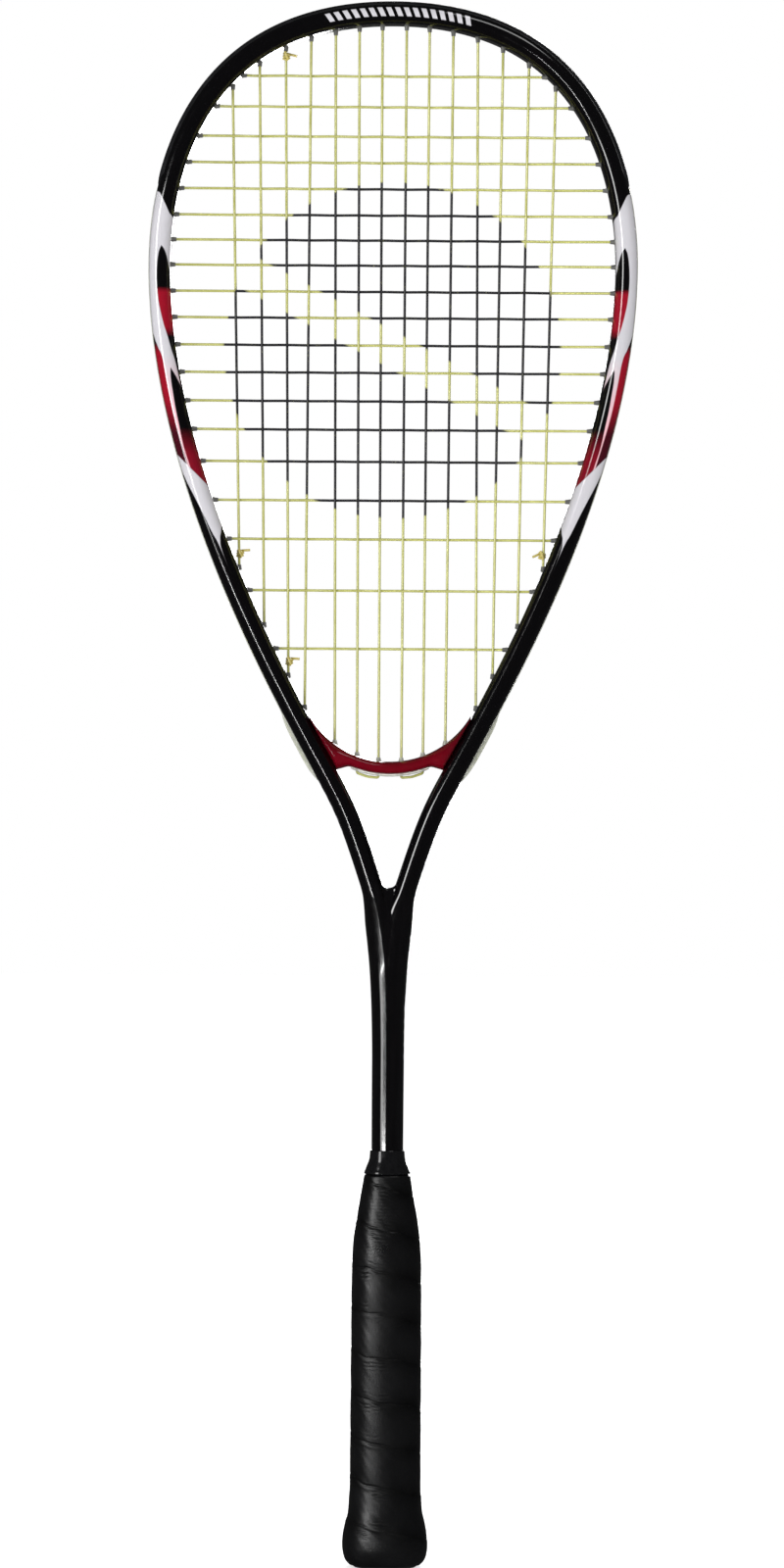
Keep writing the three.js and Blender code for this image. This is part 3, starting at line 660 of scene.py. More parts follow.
def grip_leather():
    """Soft synthetic leather: fine pores, creases along the winding, shinier where it bulges, with a painted
    sheen that lightens its colour there.
    """
    s = Shader("grip_leather")
    placing = {"Vector": s.coordinates, "Scale": 1100.0}
    pores = s.node("ShaderNodeTexVoronoi", placing, feature="DISTANCE_TO_EDGE")
    cells = s.ranged(pores.outputs["Distance"], 0.0, 0.12)
    broad = s.noise(60.0, 4.0, 0.6)
    fine = s.noise(2200.0, 3.0)
    height = s.math("ADD", s.math("MULTIPLY", cells, 0.6), s.math("MULTIPLY", fine, 0.5))
    s.bump(height, 0.3, 0.06)
    polish_and_painted_sheen = s.ranged(s.attribute("crown"), 0.2, 1.0)
    colour = s.mix(s.ranged(broad, 0.35, 0.7), (0.0008, 0.0008, 0.0009), (0.002, 0.002, 0.0023))
    # painted sheen: the colour is lighter on each turn's crown, where the wrap bulges into the light; the
    # lower roughness there is the real polish
    s.set(Base_Color=s.mix(s.math("MULTIPLY", polish_and_painted_sheen, 0.35), colour, (0.007, 0.007, 0.0078)))
    rough = s.math("MULTIPLY_ADD", polish_and_painted_sheen, -0.07, 0.39)
    uneven = s.math("ADD", rough, s.ranged(broad, 0.3, 0.7, -0.06, 0.06))
    return s.set(Roughness=uneven, Specular_IOR_Level=0.4)


def rubber():
    """Smooth black rubber, nearly glossy."""
    s = Shader("collar_rubber")
    skin_noise = s.noise(700.0, 3.0)
    s.bump(skin_noise, 0.04, 0.03)
    s.set(Base_Color=s.mix(s.ranged(skin_noise, 0.3, 0.7), (0.003, 0.003, 0.0035), (0.006, 0.006, 0.0065)))
    return s.set(Roughness=s.ranged(s.noise(150.0, 4.0), 0.3, 0.7, 0.1, 0.18), Specular_IOR_Level=0.45)


def foam():
    """Rigid foam with a skin of fine cells."""
    s = Shader("handle_foam")
    cells = s.noise(900.0, 5.0, 0.7)
    s.bump(cells, 0.5, 0.2)
    colour = s.mix(s.ranged(cells, 0.3, 0.7), (0.3, 0.27, 0.2), (0.46, 0.42, 0.33))
    return s.set(Base_Color=colour, Roughness=0.85)


def staple_wire():
    """Zinc-plated wire with fine drawing lines."""
    s = Shader("staple_wire")
    drawn = s.noise(800.0, 3.0, stretch=(0.1, 1.0, 1.0))
    s.bump(drawn, 0.2, 0.02)
    s.set(Base_Color=s.mix(s.ranged(drawn, 0.3, 0.7), (0.48, 0.49, 0.51), (0.62, 0.63, 0.65)))
    return s.set(Metallic=1.0, Roughness=s.ranged(drawn, 0.3, 0.7, 0.25, 0.4))


def knot_nylon():
    """The same string where it lies doubled and looks deeper in colour."""
    s = Shader("knot_nylon")
    tone = s.noise(300.0, 3.0)
    s.bump(s.noise(2500.0, 2.0), 0.1, 0.03)
    s.set(Base_Color=s.mix(s.ranged(tone, 0.35, 0.65), (0.52, 0.42, 0.1), (0.6, 0.52, 0.18)))
    return s.set(Roughness=0.3, Transmission_Weight=0.1)


PAINT = frame_paint()
SHAFT_PAINT = shaft_paint()
BRIDGE_RED = bridge_plastic()
BUMPER_BLACK = satin_plastic("bumper_plastic", (0.008, 0.008, 0.009), (0.016, 0.016, 0.018), 0.3)
BARREL_GREY = satin_plastic("barrel_plastic", (0.1, 0.1, 0.092), (0.15, 0.15, 0.14), 0.4)
CAP_BLACK = satin_plastic("cap_plastic", (0.012, 0.012, 0.013), (0.022, 0.022, 0.024), 0.42)
CORE_GREY = satin_plastic("core_plastic", (0.03, 0.03, 0.033), (0.06, 0.06, 0.065), 0.55)
CLEAR = clear_plastic()
NYLON = string_nylon()
KNOT_NYLON = knot_nylon()
LEATHER = grip_leather()
RUBBER = rubber()
FOAM = foam()
WIRE = staple_wire()

# ---- head tube, bumper and strips


def head_tube():
    """The bent tube of the hoop and both arms, grooved for the strings and cut off square at the seam."""
    groove_u = [u_at_z(z) for z in GROOVE_FADES]

    def section_at(u):
        groove = float(np.interp(abs(u), groove_u, [1.0, 0.0]))
        return mirrored(tube_half_section(groove))

    overrun = 6.0 / HALF_LENGTH  # the tube runs on past the seam, and is then cut off square
    rings = sweep_head(-1 - overrun, 1 + overrun, section_at)
    across = [(HALF_BEAM - out) / (2 * HALF_BEAM) for _, out in section_at(0.0)]
    piece = body_of_rings("head_tube_skin", rings, TUBE_SHARP)
    add_attribute(piece, "across", np.tile(across, len(rings)))
    along = np.linspace(-1 - overrun, 1 + overrun, len(rings)) * HALF_LENGTH
    add_attribute(piece, "along", np.repeat(along, len(rings[0])))
    body = bmesh.new()
    body.from_mesh(piece.data)
    cut = bmesh.ops.bisect_plane(
        body, geom=body.verts[:] + body.edges[:] + body.faces[:], dist=1e-7,
        plane_co=(0, 0, (SEAM_Z - 0.05) * MM), plane_no=(0, 0, -1), clear_outer=True,
    )
    bmesh.ops.holes_fill(body, edges=[e for e in cut["geom_cut"] if isinstance(e, bmesh.types.BMEdge)])
    body.to_mesh(piece.data)
    body.free()
    piece.data.set_sharp_from_angle(angle=math.radians(TUBE_SHARP))
    return finish_piece(piece, PAINT, "frame_paint", "head_tube")


def taper_ends(u, first, last, length_mm=5.0):
    """0 at a strip's ends, rising to 1 a few millimetres in."""
    inset = min(u - first, last - u) * HALF_LENGTH / length_mm
    return math.sqrt(max(min(inset, 1.0), 0.02))


def bumper():
    """The guard round the tip: a channel for the string loops and wings over the tube's lips."""
    end = u_at_z(BUMPER_END_Z)

    def section_at(u):
        full = taper_ends(u, -end, end)
        reach = LIP_HALF + (BUMPER_REACH - LIP_HALF) * full
        proud = BUMPER_PROUD * (0.25 + 0.75 * full)
        top = HALF_BEAM + proud
        floor = STRIP_FLOOR + STRIP_BASE
        wing = 2.5  # where the channel's rim ends and the wing begins
        half = [(0.0, floor), (1.7, floor), (2.0, floor + 0.2)]
        half += [(STRIP_CHANNEL, top - 0.5), (2.2, top - 0.15), (wing, top)]
        for t in np.linspace(0.12, 1.0, 9):
            y = wing + (reach - wing) * t
            rise = proud * (1 - 0.55 * t**3)
            half.append((y, side_out(y) + rise + 0.02))
        half.append((reach + 0.12, side_out(reach) + 0.5 * proud * 0.45))
        half.append((reach, side_out(reach) - 0.25))
        half.append((STRIP_HALF + 0.6, side_out(LIP_HALF) - 0.1))
        half.append((STRIP_HALF, side_out(3.0) - 0.6))
        half += [(STRIP_HALF, STRIP_FLOOR), (0.0, STRIP_FLOOR)]
        return mirrored(half)

    rings = sweep_head(-end, end, section_at)
    piece = body_of_rings("bumper_skin", rings, STRIP_SHARP)
    return finish_piece(piece, BUMPER_BLACK, "bumper_plastic", "bumper_guard")


def side_strip(side, name, node):
    """A clear channel in the groove down one side; it swells where the long throat loops lie."""
    first, last = u_at_z(SIDE_STRIP_TOP_Z), u_at_z(SIDE_STRIP_END_Z)
    swell_from, swell_to = (u_at_z(z) for z in SWELL_Z)

    def section_at(u):
        full = taper_ends(u, first, last, 4.0)
        middle = (u - (swell_from + swell_to) / 2) / ((swell_to - swell_from) / 2)
        swell = 1.3 * max(1 - middle**4, 0.0)
        top = HALF_BEAM + 0.3 * full + swell
        floor = STRIP_FLOOR + STRIP_BASE
        half = [(0.0, floor), (1.6, floor), (1.95, floor + 0.2)]
        half += [(2.05, top - 0.25), (2.15, top - 0.06), (2.35, top)]
        half += [(2.75, top), (2.95, top - 0.08), (3.02, top - 0.3), (3.0, STRIP_FLOOR + 0.3)]
        half += [(STRIP_HALF, STRIP_FLOOR), (0.0, STRIP_FLOOR)]
        return mirrored(half)

    rings = []
    for u in np.linspace(first, last, ring_count(first, last)):
        rings.append([beside(u, side, out, depth) for depth, out in section_at(u)])
    piece = body_of_rings(name, rings, STRIP_SHARP)
    return finish_piece(piece, CLEAR, "clear_plastic", node)


# ---- strings


def main_top_x(i):
    """How far from the middle a main meets the hoop's top; the spacing widens outwards."""
    return 5.3 + 9.9 * i + 0.17 * i * i


def edge_height(edge, x):
    """Height of one of the bridge's round edges at a distance across."""
    z, r = edge
    return z + r - math.sqrt(r * r - x * x)


LOOP_DROP = 0.25 + STRIP_BASE + 0.1 + STRING_R  # from the bridge's lower edge to the middle of a loop


class End:
    """One end of a string run: its way from the inner edge through the frame to the loop outside."""

    def __init__(self, side, y, u=None, entry=None, low_x=None):
        self.side, self.y, self.u, self.low_x = side, y, u, low_x
        if u is not None:
            self.surface = beside(u, side, -HALF_BEAM, y)
            self.through = [self.surface]
            self.outside = beside(u, side, LOOP_OUT, y)
            if entry is not None:
                self.surface, self.through = entry, [entry, self.surface]
        else:
            self.surface = np.array([side * low_x, y, edge_height(BRIDGE_TOP, low_x)])
            self.through = [self.surface]
            self.outside = np.array([side * low_x, y, edge_height(BRIDGE_LOW, low_x) - LOOP_DROP])

    def loop_to(self, other):
        """Points outside the frame between this end and the next one."""
        if self.u is None:
            middle_x = (self.low_x + other.low_x) / 2
            sag_z = edge_height(BRIDGE_LOW, middle_x) - LOOP_DROP - 0.35
            sag = np.array([self.side * middle_x, self.y, sag_z])
            return [self.outside, sag, other.outside]
        steps = max(int(abs(other.u - self.u) * HALF_LENGTH / 4), 2)
        us = np.linspace(self.u, other.u, steps + 1)
        is_long = self.y > 0 and self.u > u_at_z(LONG_LOOP_Z)
        swell = [0.9 if is_long else 0.0] * len(us)
        swell[0] = swell[-1] = swell[0] * 0.6
        return [beside(u, self.side, LOOP_OUT + s, self.y) for u, s in zip(us, swell)]


def main_ends(i, side):
    """Both ends of a main; i counts outwards from the middle.

    The two innermost pass through the bridge, the third through the bridge's wing and the arm, and the rest
    through the arm or the hoop.
    """
    top = End(side, STRING_Y, u=u_at_inner_x(main_top_x(i), True))
    low_x = main_top_x(i) * MAIN_TAPER
    if i < 2:
        return top, End(side, STRING_Y, low_x=low_x)
    if i == 2:
        entry = np.array([side * low_x, STRING_Y, edge_height(BRIDGE_TOP, low_x)])
        return top, End(side, STRING_Y, u=u_at_z(MAIN_3_EXIT_Z, HALF_BEAM), entry=entry)
    if i == 3:
        return top, End(side, STRING_Y, u=u_at_z(MAIN_4_EXIT_Z, HALF_BEAM))
    return top, End(side, STRING_Y, u=u_at_inner_x(low_x, False))


MAINS = [(i, -1) for i in reversed(range(MAINS_PER_SIDE))] + [(i, 1) for i in range(MAINS_PER_SIDE)]
MAIN_ENDS = [main_ends(i, side) for i, side in MAINS]
CROSS_ENDS = [tuple(End(side, -STRING_Y, u=u_at_z(z, -HALF_BEAM)) for side in (-1, 1)) for z in CROSS_Z]


def weave_run(start, end, crossings):
    """A straight run that bends over and under the strings it meets.

    crossings holds (fraction of the run, depth) in order; between them the depth follows a cosine.
    """
    knots = [(0.0, start[1])] + crossings + [(1.0, end[1])]
    points = []
    for (f0, y0), (f1, y1) in zip(knots, knots[1:]):
        for t in np.arange(WEAVE_STEPS) / WEAVE_STEPS:
            ease = (1 - math.cos(math.pi * t)) / 2
            f = f0 + (f1 - f0) * t
            point = start + (end - start) * f
            point[1] = y0 + (y1 - y0) * ease
            points.append(point)
    return points + [end.copy()]


def main_run(m):
    top, low = (end.surface for end in MAIN_ENDS[m])
    crossings = []
    for j, z in enumerate(CROSS_Z):
        f = (top[2] - z) / (top[2] - low[2])
        if 0.005 < f < 0.995:
            crossings.append((f, WEAVE * (-1) ** (m + j)))
    return weave_run(top.copy(), low.copy(), crossings)


def cross_run(j):
    left, right = (end.surface for end in CROSS_ENDS[j])
    crossings = []
    for m, (top, low) in enumerate(MAIN_ENDS):
        a, b = top.surface, low.surface
        if b[2] < left[2] - 1 and a[2] > left[2] + 1:
            x = a[0] + (b[0] - a[0]) * (a[2] - left[2]) / (a[2] - b[2])
            f = (x - left[0]) / (right[0] - left[0])
            if 0.01 < f < 0.99:
                crossings.append((f, -WEAVE * (-1) ** (m + j)))
    return weave_run(left.copy(), right.copy(), crossings)


def through_and_loop(a, b):
    """From one end's inner edge, out through the frame, along, and back in at the other end."""
    corners = [*a.through, *a.loop_to(b), *reversed(b.through)]
    return rounded(corners, CORNER_R)[1:-1]


def tail_after(end, direction):
    """A string's last few millimetres, tucked along the outside."""
    rest = end.u + direction * TAIL_LENGTH / HALF_LENGTH
    corners = [*end.through, end.outside, beside(rest, end.side, LOOP_OUT, end.y)]
    return rounded(corners, CORNER_R)[1:]


def main_string():
    """Left and right halves laced outwards from the two middle mains."""
    halves = []
    for side in (-1, 1):
        order = [m for m, (_, s) in enumerate(MAINS) if s == side]
        order = sorted(order, key=lambda m: MAINS[m][0])
        path = []
        for n, m in enumerate(order):
            top, low = MAIN_ENDS[m]
            downwards = n % 2 == 0
            path += main_run(m) if downwards else main_run(m)[::-1]
            leaving = low if downwards else top
            if n + 1 < len(order):
                path += through_and_loop(leaving, MAIN_ENDS[order[n + 1]][1 if downwards else 0])
            else:
                path += tail_after(leaving, 1)
        halves.append(path)
    left, right = (MAIN_ENDS[MAINS.index((0, side))][0] for side in (-1, 1))
    tip = beside(0, 1, LOOP_OUT, STRING_Y)
    join = rounded([*left.through, left.outside, tip, right.outside, *right.through], CORNER_R)[1:-1]
    path = halves[0][::-1] + join + halves[1]
    batch = Batch()
    batch.add_rings(tube_rings(path, STRING_R))
    return finish_piece(batch.build("main_string_woven"), NYLON, "string", "main_string")


def cross_string():
    """One length laced to and fro from the top cross down."""
    path = tail_after(CROSS_ENDS[0][0], -1)[::-1]
    for j in range(len(CROSS_Z)):
        rightwards = j % 2 == 0
        path += cross_run(j) if rightwards else cross_run(j)[::-1]
        side = 1 if rightwards else 0
        if j + 1 < len(CROSS_Z):
            path += through_and_loop(CROSS_ENDS[j][side], CROSS_ENDS[j + 1][side])
        else:
            path += tail_after(CROSS_ENDS[j][side], 1)
    batch = Batch()
    batch.add_rings(tube_rings(path, STRING_R))
    return finish_piece(batch.build("cross_string_woven"), NYLON, "string", "cross_string")


def barrel_rings(surface, inward, outward, length):
    """A grommet barrel: a flared foot on the frame, a short tube and a rounded mouth round the string."""
    path = [surface + outward * 1.6, surface + outward * 0.3]
    path += [surface + inward * d for d in (0.35, 0.8, length - 0.35, length, length + 0.02, length - 0.5)]
    radii = [1.1, 1.3, 1.1, 0.98, 0.92, 0.82, 0.64, 0.62]
    across = np.cross(inward, [0.0, 1.0, 0.0])
    across /= np.linalg.norm(across)
    depth = np.cross(across, inward)
    circle = [math.cos(a) * across + math.sin(a) * depth for a in full_turn(12)]
    return [[point + r * spoke for spoke in circle] for point, r in zip(path, radii)]


def grommet_barrels():
    """Barrels at every string end, in one piece for each strip that they are moulded on."""
    bumper_end = u_at_z(BUMPER_END_Z)
    names = ("bumper_barrels", "strip_barrels_left", "strip_barrels_right", "bridge_barrels")
    groups = {name: Batch() for name in names}
    for a, b in MAIN_ENDS + CROSS_ENDS:
        for end, far in ((a, b), (b, a)):
            inward = far.surface - end.surface
            inward[1] = 0
            inward /= np.linalg.norm(inward)
            if end.u is None or len(end.through) > 1:
                key, outward = "bridge_barrels", -inward
            else:
                outward = beside(end.u, end.side, 1.0, end.y) - beside(end.u, end.side, 0.0, end.y)
                key = "strip_barrels_left" if end.side < 0 else "strip_barrels_right"
                if end.u < bumper_end:
                    key = "bumper_barrels"
            length = 1.5 if key == "bridge_barrels" else 2.1
            groups[key].add_rings(barrel_rings(end.surface, inward, outward, length))
    slots = {"bumper_barrels": "bumper_plastic"}
    for key, batch in groups.items():
        material = CLEAR if key == "bridge_barrels" else BARREL_GREY
        finish_piece(batch.build(key), material, slots.get(key, "clear_plastic"))


def knot(node, along, tail_to):
    """Two turns of string round a main, crossed over and pulled tight, with a cut tail."""
    low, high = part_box(node)
    centre = np.array((low + high) / 2) / MM
    along = np.asarray(along, float) / np.linalg.norm(along)
    across = np.cross(along, [0.0, 1.0, 0.0])
    across /= np.linalg.norm(across)
    depth = np.array([0.0, 1.0, 0.0])
    turn_r, turns = 2 * STRING_R + 0.05, 2.25
    path = []
    for t in np.linspace(0, 1, 60):
        angle = 2 * math.pi * turns * t
        rise = -1.25 + 2.5 * t
        path.append(centre + turn_r * (math.cos(angle) * across + math.sin(angle) * depth) + rise * along)
    tail = np.asarray(tail_to, float)
    last = path[-1]
    path += [last + tail * d - along * 0.25 * d for d in (0.8, 1.6, 2.6, 3.6, 4.6)]
    pulled_thin = STRING_R * 0.96
    batch = Batch()
    batch.add_rings(tube_rings(path, pulled_thin))
    crossing = [
        path[0] - across * 0.2,
        centre - along * 1.7 - depth * 1.5 - across * 0.9,
        centre - depth * 2.15,
        centre + along * 1.7 - depth * 1.5 + across * 0.9,
    ]
    batch.add_rings(tube_rings(rounded(crossing, 1.2), pulled_thin))
    return finish_piece(batch.build(node + "_wound"), KNOT_NYLON, "string", node)


# ---- throat bridge


def bridge():
    """A crescent lofted along x: its upper edge closes the string face, its wings lie on the arms."""
    wing_x, foot_x = (
        beside(u_at_z(z, -HALF_BEAM), 1, -HALF_BEAM)[0] for z in (BRIDGE_TIP_Z, BRIDGE_FOOT_Z)
    )
    # The wings' lower edge follows the arm's inner face, a little inside it.
    face_us = np.linspace(u_at_z(385.0, -HALF_BEAM), u_at_z(345.0, -HALF_BEAM), 60)
    face = np.array([beside(u, 1, -HALF_BEAM + 0.15)[[0, 2]] for u in face_us])[::-1]
    right_wing = np.linspace(foot_x, wing_x, 14)
    middle_xs = np.linspace(-foot_x, foot_x, 46)[1:-1]
    xs = np.concatenate([np.linspace(-wing_x, -foot_x, 14), middle_xs, right_wing])
    rings = []
    for x in xs:
        top = edge_height(BRIDGE_TOP, abs(x))
        if abs(x) <= BRIDGE_LOW_HALF:
            low = edge_height(BRIDGE_LOW, abs(x))
        elif abs(x) < foot_x:
            t = (abs(x) - BRIDGE_LOW_HALF) / (foot_x - BRIDGE_LOW_HALF)
            ease = t * t * (3 - 2 * t)
            low = edge_height(BRIDGE_LOW, BRIDGE_LOW_HALF) * (1 - ease) + BRIDGE_FOOT_Z * ease
        else:
            low = float(np.interp(abs(x), face[:, 0], face[:, 1]))
        low = min(low, top - 0.15)
        half_height, middle = (top - low) / 2, (top + low) / 2
        half_depth = 7.4 + 0.9 * min(abs(x) / foot_x, 1.0) ** 2  # deeper towards the feet
        section = [oval(a, half_depth, half_height, BRIDGE_POWER) for a in full_turn(40)]
        rings.append([(x, depth, middle + height) for depth, height in section])
    piece = body_of_rings("throat_bridge_skin", rings, 50.0)
    return finish_piece(piece, BRIDGE_RED, "bridge_plastic", "throat_bridge")


def bridge_strip():
    """A thin clear strip under the bridge, with a small lip along each edge."""
    half_angle = 0.96 * math.asin(BRIDGE_LOW_HALF / BRIDGE_LOW[1])
    rings = []
    for a in np.linspace(-half_angle, half_angle, 41):
        end = min((half_angle - abs(a)) / 0.03, 1.0)
        centre = np.array([0.0, 0.0, BRIDGE_LOW[0] + BRIDGE_LOW[1]])
        away = np.array([math.sin(a), 0.0, -math.cos(a)])
        base = BRIDGE_LOW[1] - 0.25
        lip = 0.35 * (0.15 + 0.85 * end)
        floor = base + 0.75
        half = [(0.0, floor), (1.7, floor), (2.0, base + 0.85), (2.1, floor + lip), (2.6, floor + lip)]
        half += [(3.0, base + 0.65 + lip), (3.4, base + 0.5), (3.4, base), (0.0, base)]
        rings.append([centre + away * r + np.array([0.0, depth, 0.0]) for depth, r in mirrored(half)])
    piece = body_of_rings("bridge_strip_skin", rings, STRIP_SHARP)
    return finish_piece(piece, CLEAR, "clear_plastic", "grommet_strip_bridge")


# ---- shaft

# Height, offset of each arm's axis, half width and half depth of each arm, and its flat side's half depth.
SHAFT_STATIONS = [
    (318.0, 14.02, 4.94, 9.0, 3.6),
    (306.0, 10.14, 4.94, 9.0, 3.6),
    (300.0, 8.2, 4.94, 9.0, 3.6),
    (297.0, 7.23, 4.97, 9.0, 3.6),
    (294.0, 6.25, 5.25, 9.0, 3.4),
    (290.0, 4.9, 6.1, 8.9, 3.0),
    (282.0, 3.0, 7.4, 8.6, 2.2),
    (273.0, 1.7, 7.7, 8.3, 1.4),
    (264.0, 0.85, 7.65, 8.0, 0.8),
    (250.0, 0.2, 7.45, 7.8, 0.4),
    (232.0, 0.0, 7.1, 7.6, 0.2),
    (205.0, 0.0, SHAFT_X, SHAFT_Y, 0.2),
    (SHAFT_BOTTOM, 0.0, SHAFT_X, SHAFT_Y, 0.2),
]
ARMS_MERGED_Z = 236.0
ARM_SINK_Z = 258.0  # from here down the right arm sinks into the left one's surface
SHAFT_PLAIN_Z = 222.0  # from here down the shaft is nearly constant and needs few rings
WEB_HALF_WIDTH = 4.2
WEB_EDGE = 1.4  # rounding of the web's top edge
WEB_BOTTOM = 246.0
# Height, and how far the web's middle lies below the arms' crests.
WEB_DIPS = [(SEAM_Z, 3.6), (296.0, 2.7), (290.0, 1.2), (286.0, 0.4), (282.0, 0.05), (ARMS_MERGED_Z, 0.05)]


def station_at(z):
    """The stations at a height, on a smooth curve that goes through each of them."""
    table = np.array(SHAFT_STATIONS)[::-1]
    slopes = np.gradient(table, table[:, 0], axis=0)
    k = int(np.clip(np.searchsorted(table[:, 0], z) - 1, 0, len(table) - 2))
    span = table[k + 1, 0] - table[k, 0]
    t = (z - table[k, 0]) / span
    value = (2 * t**3 - 3 * t**2 + 1) * table[k] + (3 * t**2 - 2 * t**3) * table[k + 1]
    value += span * ((t**3 - 2 * t**2 + t) * slopes[k] + (t**3 - t**2) * slopes[k + 1])
    return value[1:]


def crowned_ring(centre_x, z, a, b, flat):
    """A ring like the tube's section: flat sides, crowned front and back."""
    ring = []
    for sign in (-1, 1):
        for angle in np.linspace(0, math.pi, 36):
            across, depth = oval(angle, a, b - flat, CROWN_POWER)
            ring.append((centre_x + sign * across, sign * (flat + abs(depth)), z))
    return ring


def arm_root(side):
    """One arm from the seam down: the left one becomes the shaft, and the right one sinks into it."""
    if side < 0:
        plain = np.linspace(SHAFT_PLAIN_Z - 1, SHAFT_BOTTOM, 12)
        heights = np.concatenate([np.arange(SEAM_Z, SHAFT_PLAIN_Z, -1.2), plain])
    else:
        heights = np.arange(SEAM_Z, ARMS_MERGED_Z, -1.2)
    rings = []
    for z in heights:
        offset, a, b, flat = station_at(z)
        sunk = max((ARM_SINK_Z - z) / (ARM_SINK_Z - ARMS_MERGED_Z), 0.0)
        sink = 0.0 if side < 0 else 0.5 * sunk**2
        rings.append(crowned_ring(side * offset, z, a - sink, b - sink, flat))
    return rings


def crotch_top(x):
    """Height of the web between the arms at a distance across."""
    if abs(x) >= math.sqrt(CROTCH_R**2 - (CROTCH_Z - SEAM_Z) ** 2):
        return SEAM_Z - 0.02
    return CROTCH_Z - math.sqrt(CROTCH_R**2 - x * x)


def arm_depth(x, z):
    """Half depth of the right arm's surface at a distance across."""
    offset, a, b, flat = station_at(z)
    share = min(abs(x - offset) / a, 1.0)
    return flat + (b - flat) * (1 - share**CROWN_POWER) ** (1 / CROWN_POWER)


def web_depth(share, z):
    """Half depth of the web, from its middle (share 0) to where it dives into an arm (share 1)."""
    heights, dips = zip(*WEB_DIPS[::-1])
    middle = station_at(z)[2] - float(np.interp(z, heights, dips))
    edge = arm_depth(web_half_width(z), z) - 0.04
    return middle + (edge - middle) * share**3


def web_half_width(z):
    """The web reaches no further than the middle of each arm."""
    return min(WEB_HALF_WIDTH, station_at(z)[0])


def web():
    """The round crotch, and below it the fill of the valley between the arms until they merge."""
    rings = []
    for share in np.linspace(-1, 1, 35):
        top = crotch_top(share * WEB_HALF_WIDTH)
        half = []
        for z in np.linspace(WEB_BOTTOM, top - WEB_EDGE, 40):
            half.append((share * web_half_width(z), web_depth(abs(share), z), z))
        x, depth, _ = half[-1]
        for angle in np.linspace(0.25, math.pi / 2, 6):
            in_by, down_by = WEB_EDGE * (1 - math.cos(angle)), WEB_EDGE * (1 - math.sin(angle))
            half.append((x, depth - in_by, top - down_by))
        rings.append([(x, -y, z) for x, y, z in half] + half[::-1])
    return rings


def shaft():
    """Both arms' roots and the web between them, from the seam down into the handle."""
    batch = Batch()
    batch.add_rings(arm_root(-1))
    batch.add_rings(arm_root(1))
    batch.add_rings(web())
    return finish_piece(batch.build("shaft_skin", 50.0), SHAFT_PAINT, "shaft_paint", "shaft")


def smoothed(values, reach):
    """A row of values averaged over their neighbours, the nearest counting most."""
    padded = np.pad(values, reach, mode="edge")
    kernel = np.hanning(2 * reach + 3)[1:-1]
    return np.convolve(padded, kernel / kernel.sum(), mode="valid")


# ---- handle

# Height, half width, half depth.
GRIP_STATIONS = [
    (1.2, 16.3, 14.9),
    (3.5, 17.9, 16.4),
    (8.0, 18.8, 17.2),
    (13.0, 18.7, 17.1),
    (18.0, 17.8, 16.2),
    (24.0, 16.3, 14.8),
    (35.0, 15.6, 14.1),
    (120.0, 15.4, 13.9),
    (135.0, 15.2, 13.8),
    (145.0, 14.5, 13.2),
    (155.0, 13.0, 12.1),
    (163.0, 11.5, 10.9),
    (GRIP_TOP, 10.05, 9.9),
]
HANDLE_POWER = 2.35  # how square the grip's oval is
CAP_POWER = 2.3
COLLAR_STATIONS = [
    (172.2, 10.05, 9.85),
    (173.0, 10.0, 9.8),
    (173.8, 9.6, 9.5),
    (175.5, 9.0, 9.1),
    (177.5, 8.15, 8.6),
    (179.0, 7.75, 8.3),
    (182.4, 7.5, 8.1),
]


RIPPLES = ((2.3, 1.0), (5.1, 1.7), (11.3, 2.9))  # rate, and how far each seed shifts it


def ripple(t, seed):
    """A smooth repeatable wobble between about -1 and 1."""
    slow, middle, fast = (math.sin(t * rate + shift * seed) for rate, shift in RIPPLES)
    return 0.5 * slow + 0.3 * middle + 0.2 * fast


def ridge(t, centre, width):
    """A smooth ridge of height 1."""
    return math.exp(-(((t - centre) / width) ** 2))


def grip_lift(z, angle):
    """How far the wrap stands out, and how near the middle of its turn it is.

    The turns overlap like shingles: a soft crown, a raised edge, and creases that run beside the edge.
    """
    wander = 1.1 * ripple(angle + z * 0.02, 1.0) / WRAP_PITCH
    turn = z / WRAP_PITCH + angle / (2 * math.pi) + WRAP_PHASE + wander
    number = math.floor(turn)
    t = turn - number
    crown = math.sin(math.pi * t) ** 0.6 if 0 < t < 1 else 0.0
    pressed = 0.65 + 0.35 * ripple(angle * 1.3 + number * 2.3, 4.0)  # how tightly the edge lies down
    lip = ridge(t, 0.93, 0.05)
    valley = ridge(t, 0.01, 0.018) + ridge(t, 1.0, 0.01)
    patch = max(ripple(angle * 2.0 + number * 1.9, 3.0), 0.0)
    beside_edge = ridge(t, 0.84, 0.11) + 0.5 * ridge(t, 0.16, 0.08)
    creases = patch * beside_edge * math.sin(2 * math.pi * (t * 11.0 + 0.3 * ripple(angle * 3.0, 5.0)))
    stretched = min(max((z - 128.0) / 20.0, 0.0), 1.0)  # the tapered top has fine cross creases
    fine = stretched * ripple(z * 1.9 + 0.4 * ripple(angle * 2.0, 6.0), 7.0)
    lump = ripple(angle * 2.0 + z * 0.11, 2.0)
    edge = pressed * (0.13 * lip - 0.22 * valley)
    return 0.17 * crown + edge + 0.13 * creases + 0.035 * fine + 0.08 * lump - 0.2, crown


def smooth_stations(stations, count, reach):
    """Heights, half widths and half depths on smooth curves near the stations."""
    heights, half_x, half_y = np.array(stations).T
    fine = np.linspace(heights[0], heights[-1], count)
    sizes = (smoothed(np.interp(fine, heights, half), reach) for half in (half_x, half_y))
    return fine, *sizes


